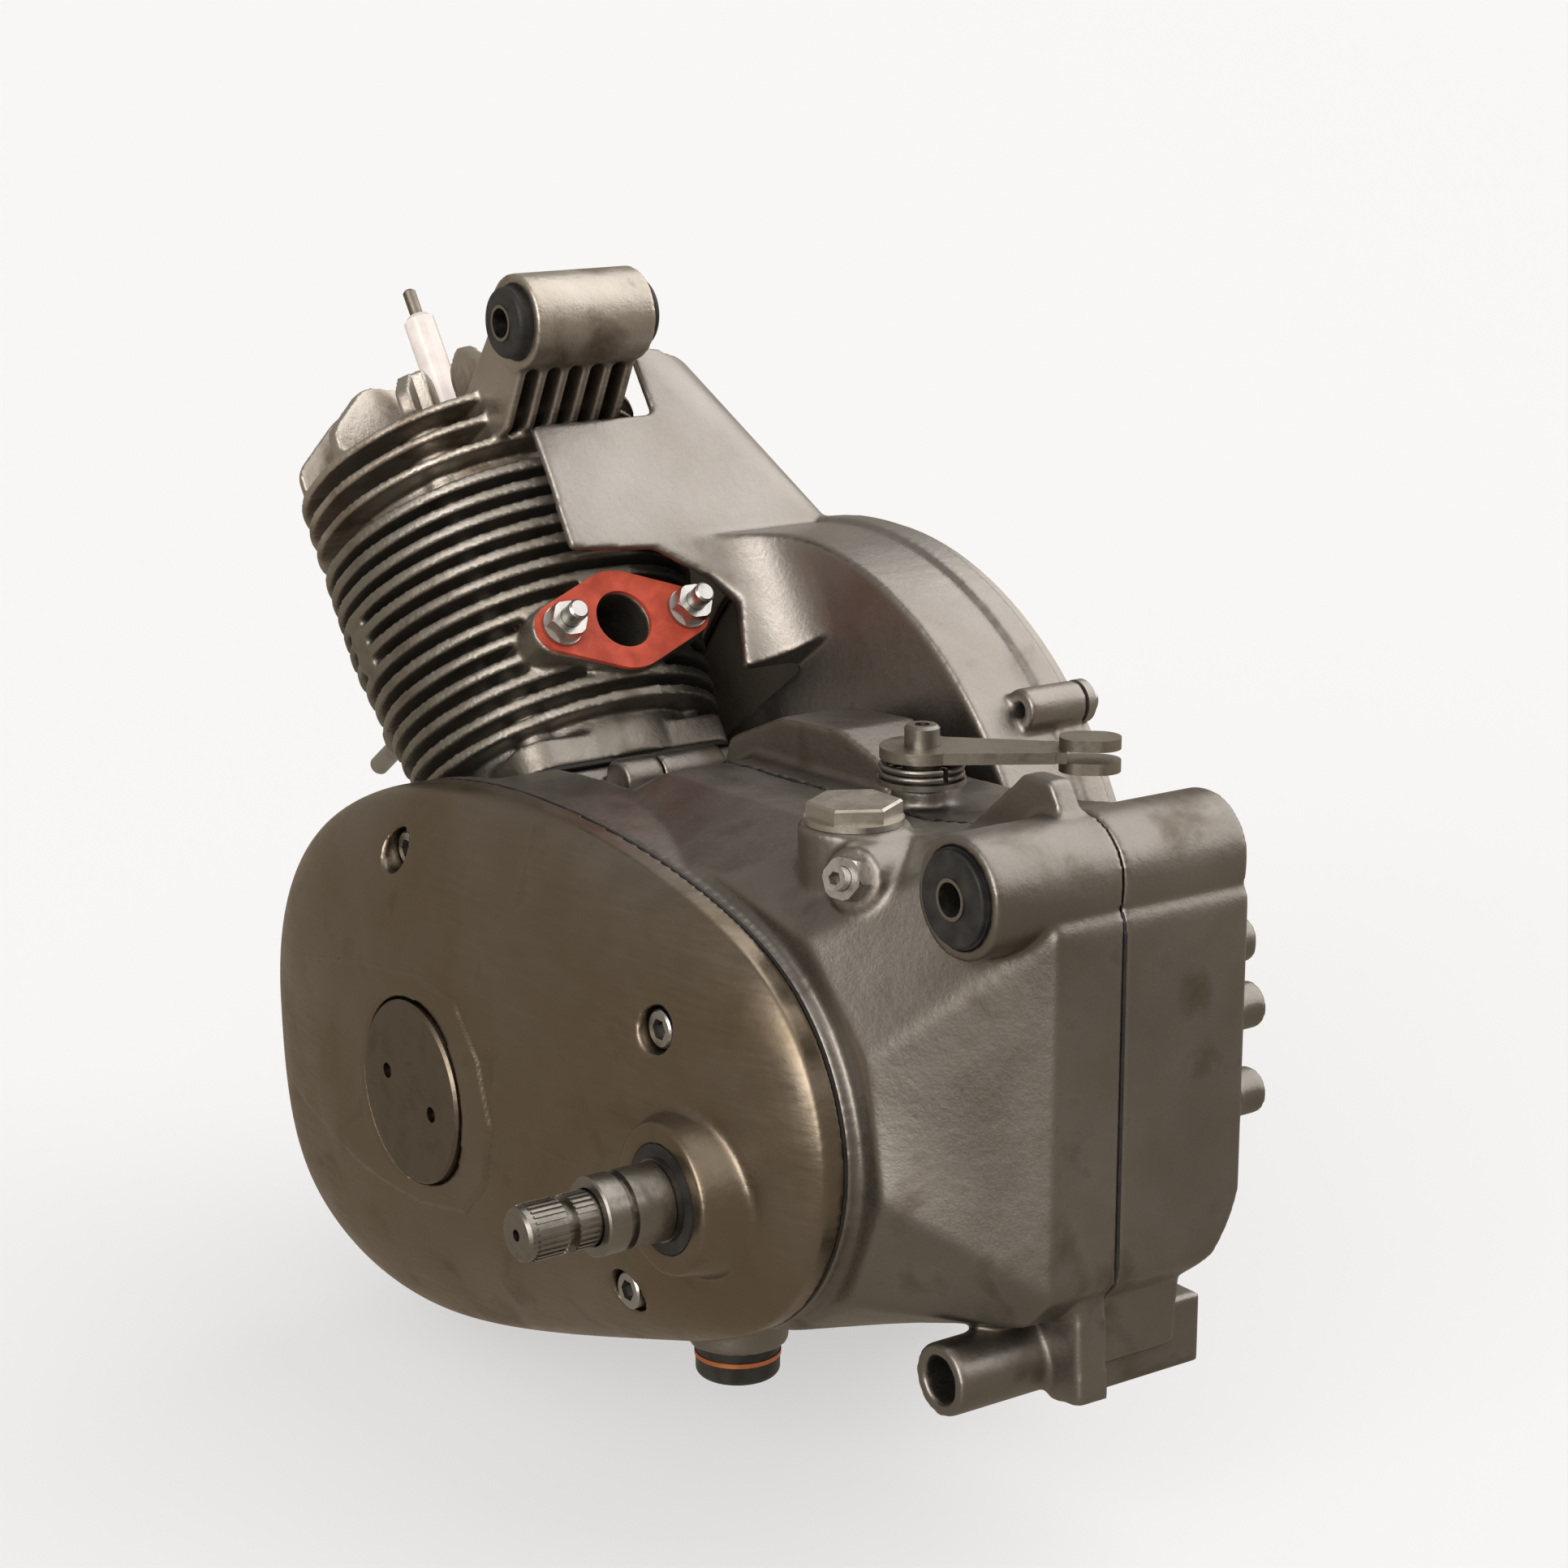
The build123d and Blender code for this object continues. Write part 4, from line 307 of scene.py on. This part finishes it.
def make_materials():
    """One material for each slot of the record."""
    return {
        "case_casting": cast_metal("case_casting", (0.255, 0.24, 0.222), (0.20, 0.186, 0.168),
                                   (0.12, 0.10, 0.078), 0.34, 0.50, 0.00008),
        "cover_polished": polished_metal("cover_polished", (0.245, 0.212, 0.175), (0.205, 0.165, 0.115),
                                         (0.135, 0.105, 0.068)),
        "shroud_casting": cast_metal("shroud_casting", (0.32, 0.302, 0.285), (0.27, 0.25, 0.23),
                                     (0.19, 0.165, 0.13), 0.36, 0.48, 0.00010, 0.62, 0.2),
        "barrel_casting": cast_metal("barrel_casting", (0.30, 0.283, 0.26), (0.25, 0.23, 0.20),
                                     (0.14, 0.12, 0.098), 0.38, 0.55, 0.00014, 0.55),
        "head_casting": cast_metal("head_casting", (0.46, 0.43, 0.39), (0.34, 0.295, 0.24),
                                   (0.12, 0.088, 0.056), 0.36, 0.55, 0.00014, 0.5),
        "gasket_black": dull_solid("gasket_black", (0.012, 0.012, 0.012), (0.022, 0.020, 0.018), 0.5,
                                   0.00005),
        "head_gasket_metal": machined_metal("head_gasket_metal", (0.5, 0.48, 0.45), (0.2, 0.18, 0.15), 0.4),
        "gasket_red": dull_solid("gasket_red", (0.50, 0.075, 0.04), (0.33, 0.045, 0.025), 0.62, 0.00005),
        "bush_rubber": dull_solid("bush_rubber", (0.012, 0.012, 0.012), (0.028, 0.026, 0.024), 0.48, 0.00006),
        "zinc_steel": machined_metal("zinc_steel", (0.40, 0.395, 0.385), (0.22, 0.20, 0.17), 0.30, dirt=0.6),
        "dark_steel": machined_metal("dark_steel", (0.25, 0.235, 0.215), (0.10, 0.085, 0.065), 0.33),
        "lever_steel": machined_metal("lever_steel", (0.27, 0.25, 0.215), (0.13, 0.105, 0.075), 0.36),
        "inner_steel": machined_metal("inner_steel", (0.45, 0.45, 0.44), (0.22, 0.21, 0.19), 0.3),
        "piston_alloy": machined_metal("piston_alloy", (0.6, 0.59, 0.57), (0.4, 0.38, 0.34), 0.35),
        "stator_iron": machined_metal("stator_iron", (0.30, 0.22, 0.15), (0.16, 0.10, 0.06), 0.5),
        "cap_turned": machined_metal("cap_turned", (0.15, 0.125, 0.098), (0.09, 0.07, 0.048), 0.33,
                                     turned=(0.3, 1.0, 1.0)),
        "filler_alloy": machined_metal("filler_alloy", (0.42, 0.40, 0.36), (0.28, 0.25, 0.205), 0.38),
        "drain_black": dull_solid("drain_black", (0.014, 0.013, 0.012), (0.03, 0.027, 0.024), 0.36, 0.00004),
        "copper_ring": machined_metal("copper_ring", (0.62, 0.23, 0.10), (0.38, 0.12, 0.05), 0.35),
        "plug_steel": machined_metal("plug_steel", (0.20, 0.18, 0.155), (0.07, 0.06, 0.045), 0.4),
        "plug_ceramic": dull_solid("plug_ceramic", (0.78, 0.74, 0.73), (0.66, 0.60, 0.58), 0.3, 0.00002,
                                   coat=0.6),
    }


# ---------------------------------------------------------------- recast pieces
def smooth_step(value, low, high):
    """Rises smoothly from 0 at low to 1 at high."""
    share = np.clip((value - low) / (high - low), 0.0, 1.0)
    return share * share * (3.0 - 2.0 * share)


def joined_copy(node, name):
    """New object with the CAD node's mesh, its doubled corner points joined."""
    mesh = frame["nodes"][node].data.copy()
    mesh.materials.clear()
    work = bmesh.new()
    work.from_mesh(mesh)
    bmesh.ops.remove_doubles(work, verts=work.verts, dist=2e-6)
    work.to_mesh(mesh)
    work.free()
    piece = bpy.data.objects.new(name, mesh)
    scene.collection.objects.link(piece)
    return piece


def read_places(mesh):
    """Places of the mesh's points as an array of rows."""
    places = np.empty(len(mesh.vertices) * 3)
    mesh.vertices.foreach_get("co", places)
    return places.reshape(-1, 3)


def bake_modifiers(piece):
    """Turns the piece's modifiers into plain mesh."""
    graph = bpy.context.evaluated_depsgraph_get()
    graph.update()
    mesh = bpy.data.meshes.new_from_object(piece.evaluated_get(graph))
    piece.modifiers.clear()
    piece.data = mesh


def recast(node, voxel, passes, sharp=None, shape=None):
    """Replaces a CAD casting by one with rounded corners and cast fillets.

    sharp gives how crisp each point stays, 0 to 1; shape moves the finished points.
    """
    piece = joined_copy(node, node + "_cast")
    remesh = piece.modifiers.new("remesh", "REMESH")
    remesh.mode = "VOXEL"
    remesh.voxel_size = voxel
    bake_modifiers(piece)
    places = read_places(piece.data)
    soft = piece.vertex_groups.new(name="soft")
    smooth = piece.modifiers.new("smooth", "SMOOTH")
    smooth.factor = 0.5
    smooth.iterations = passes
    if sharp is not None:
        keep = sharp(places)
        steps = 8
        for step in range(1, steps + 1):
            members = np.nonzero(np.round((1.0 - keep) * steps) == step)[0]
            if len(members):
                soft.add(members.tolist(), step / steps, "REPLACE")
        smooth.vertex_group = "soft"
    bake_modifiers(piece)
    piece.vertex_groups.clear()
    mesh = piece.data
    if shape is not None:
        mesh.vertices.foreach_set("co", shape(read_places(mesh)).reshape(-1))
    finish_piece(piece, node)
    return piece


def finish_piece(piece, node):
    """Smooth shading, material, body and slot of a piece that replaces a CAD node."""
    mesh = piece.data
    mesh.polygons.foreach_set("use_smooth", np.ones(len(mesh.polygons), dtype=bool))
    mesh.materials.clear()
    mesh.materials.append(MATERIALS[SLOT_OF[node]])
    mesh.update()
    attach(piece, BODY_OF[node])
    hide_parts(node)


def near_plane(level, reach=2.5 * MM):
    """Crispness of points near a parting plane across Y."""
    return lambda places: 1.0 - smooth_step(np.abs(places[:, 1] - level), 0.8 * MM, reach)


def left_case_sharp(places):
    """Crispness of the left casting: full at the parting plane, most of it at the cover's seat."""
    seam = near_plane(GASKET_Y)(places)
    rim = near_plane(COVER_SEAT_Y, 2.0 * MM)(places)
    return np.maximum(seam, rim * 0.8)


def cover_shape(places):
    """Raises the plain teardrop panel from the round cap to the front edge of the dome."""
    x = (places[:, 0] - CRANK[0]) / MM
    z = (places[:, 2] - CRANK[2]) / MM
    half = np.interp(x, (-95.0, -70.0, -30.0, 0.0, 20.0, 34.0, 40.0),
                     (16.0, 22.0, 30.0, 33.0, 30.0, 17.0, 0.0))
    tilt = 0.02 * x
    inside = smooth_step(half - np.abs(z - tilt), -0.6, 0.6)
    inside = inside * smooth_step(x, -92.0, -90.0)
    dome = smooth_step(-(places[:, 1] - COVER_RIM_Y) / MM, 4.0, 9.0)
    moved = places.copy()
    around = smooth_step(60.0 - np.hypot(x, z), -40.0, 0.0)
    moved[:, 1] += (1.0 - inside) * dome * PANEL_RISE * around
    return moved


def dress_cad_nodes():
    """Gives every CAD node the material of its slot."""
    for node, cad_object in frame["nodes"].items():
        if not cad_object.material_slots:
            cad_object.data.materials.append(None)
        for slot in cad_object.material_slots:
            slot.link = "OBJECT"
            slot.material = MATERIALS[SLOT_OF[node]]


def squeezed_out(places):
    """Pushes the outer edge of the sealing compound out in an uneven bead."""
    away = places[:, (0, 2)] - CASE_MIDDLE
    span = np.hypot(away[:, 0], away[:, 1])
    turn = np.arctan2(away[:, 1], away[:, 0])
    waves = np.sin(turn * 37.0) + np.sin(turn * 71.0 + 1.3) + np.sin(turn * 113.0 + 0.4)
    push = np.clip(BEAD_MEAN + BEAD_WAVE * waves, 0.0, BEAD_MOST) * MM
    push = push * smooth_step(CASE_REAR_X - places[:, 0], 0.0, 1.0 * MM)
    inner = smooth_step(span, 50.0 * MM, 54.0 * MM)
    moved = places.copy()
    moved[:, 0] += away[:, 0] / span * push * inner
    moved[:, 2] += away[:, 1] / span * push * inner
    return moved


add_camera()
add_world()
add_floor(cad_bounds[0][2] - 0.5 * MM)
add_sun("window", (0.15, 0.72, 0.68), 80.0, 2.3, (1.0, 0.97, 0.94))
add_sun("room_fill", (0.55, -0.55, 0.62), 70.0, 0.9, (1.0, 0.93, 0.84))
add_sun("left_fill", (0.42, -0.78, 0.36), 45.0, 1.7, (1.0, 0.96, 0.93))

MATERIALS = make_materials()
dress_cad_nodes()

coarse = 1.0
recast("crankcase_left", 0.9 * MM * coarse, 10, left_case_sharp)
recast("crankcase_right", 0.9 * MM * coarse, 10, near_plane(0.0))
recast("clutch_cover", 0.75 * MM * coarse, 6, near_plane(COVER_GASKET_Y), cover_shape)
recast("fan_shroud", 0.9 * MM * coarse, 10)
recast("cylinder", 0.8 * MM, 3)
recast("cylinder_head", 0.8 * MM, 3)
recast("case_gasket", 0.4 * MM * coarse, 1, None, squeezed_out)

scene.view_settings.view_transform = "Standard"
scene.view_settings.look = "None"
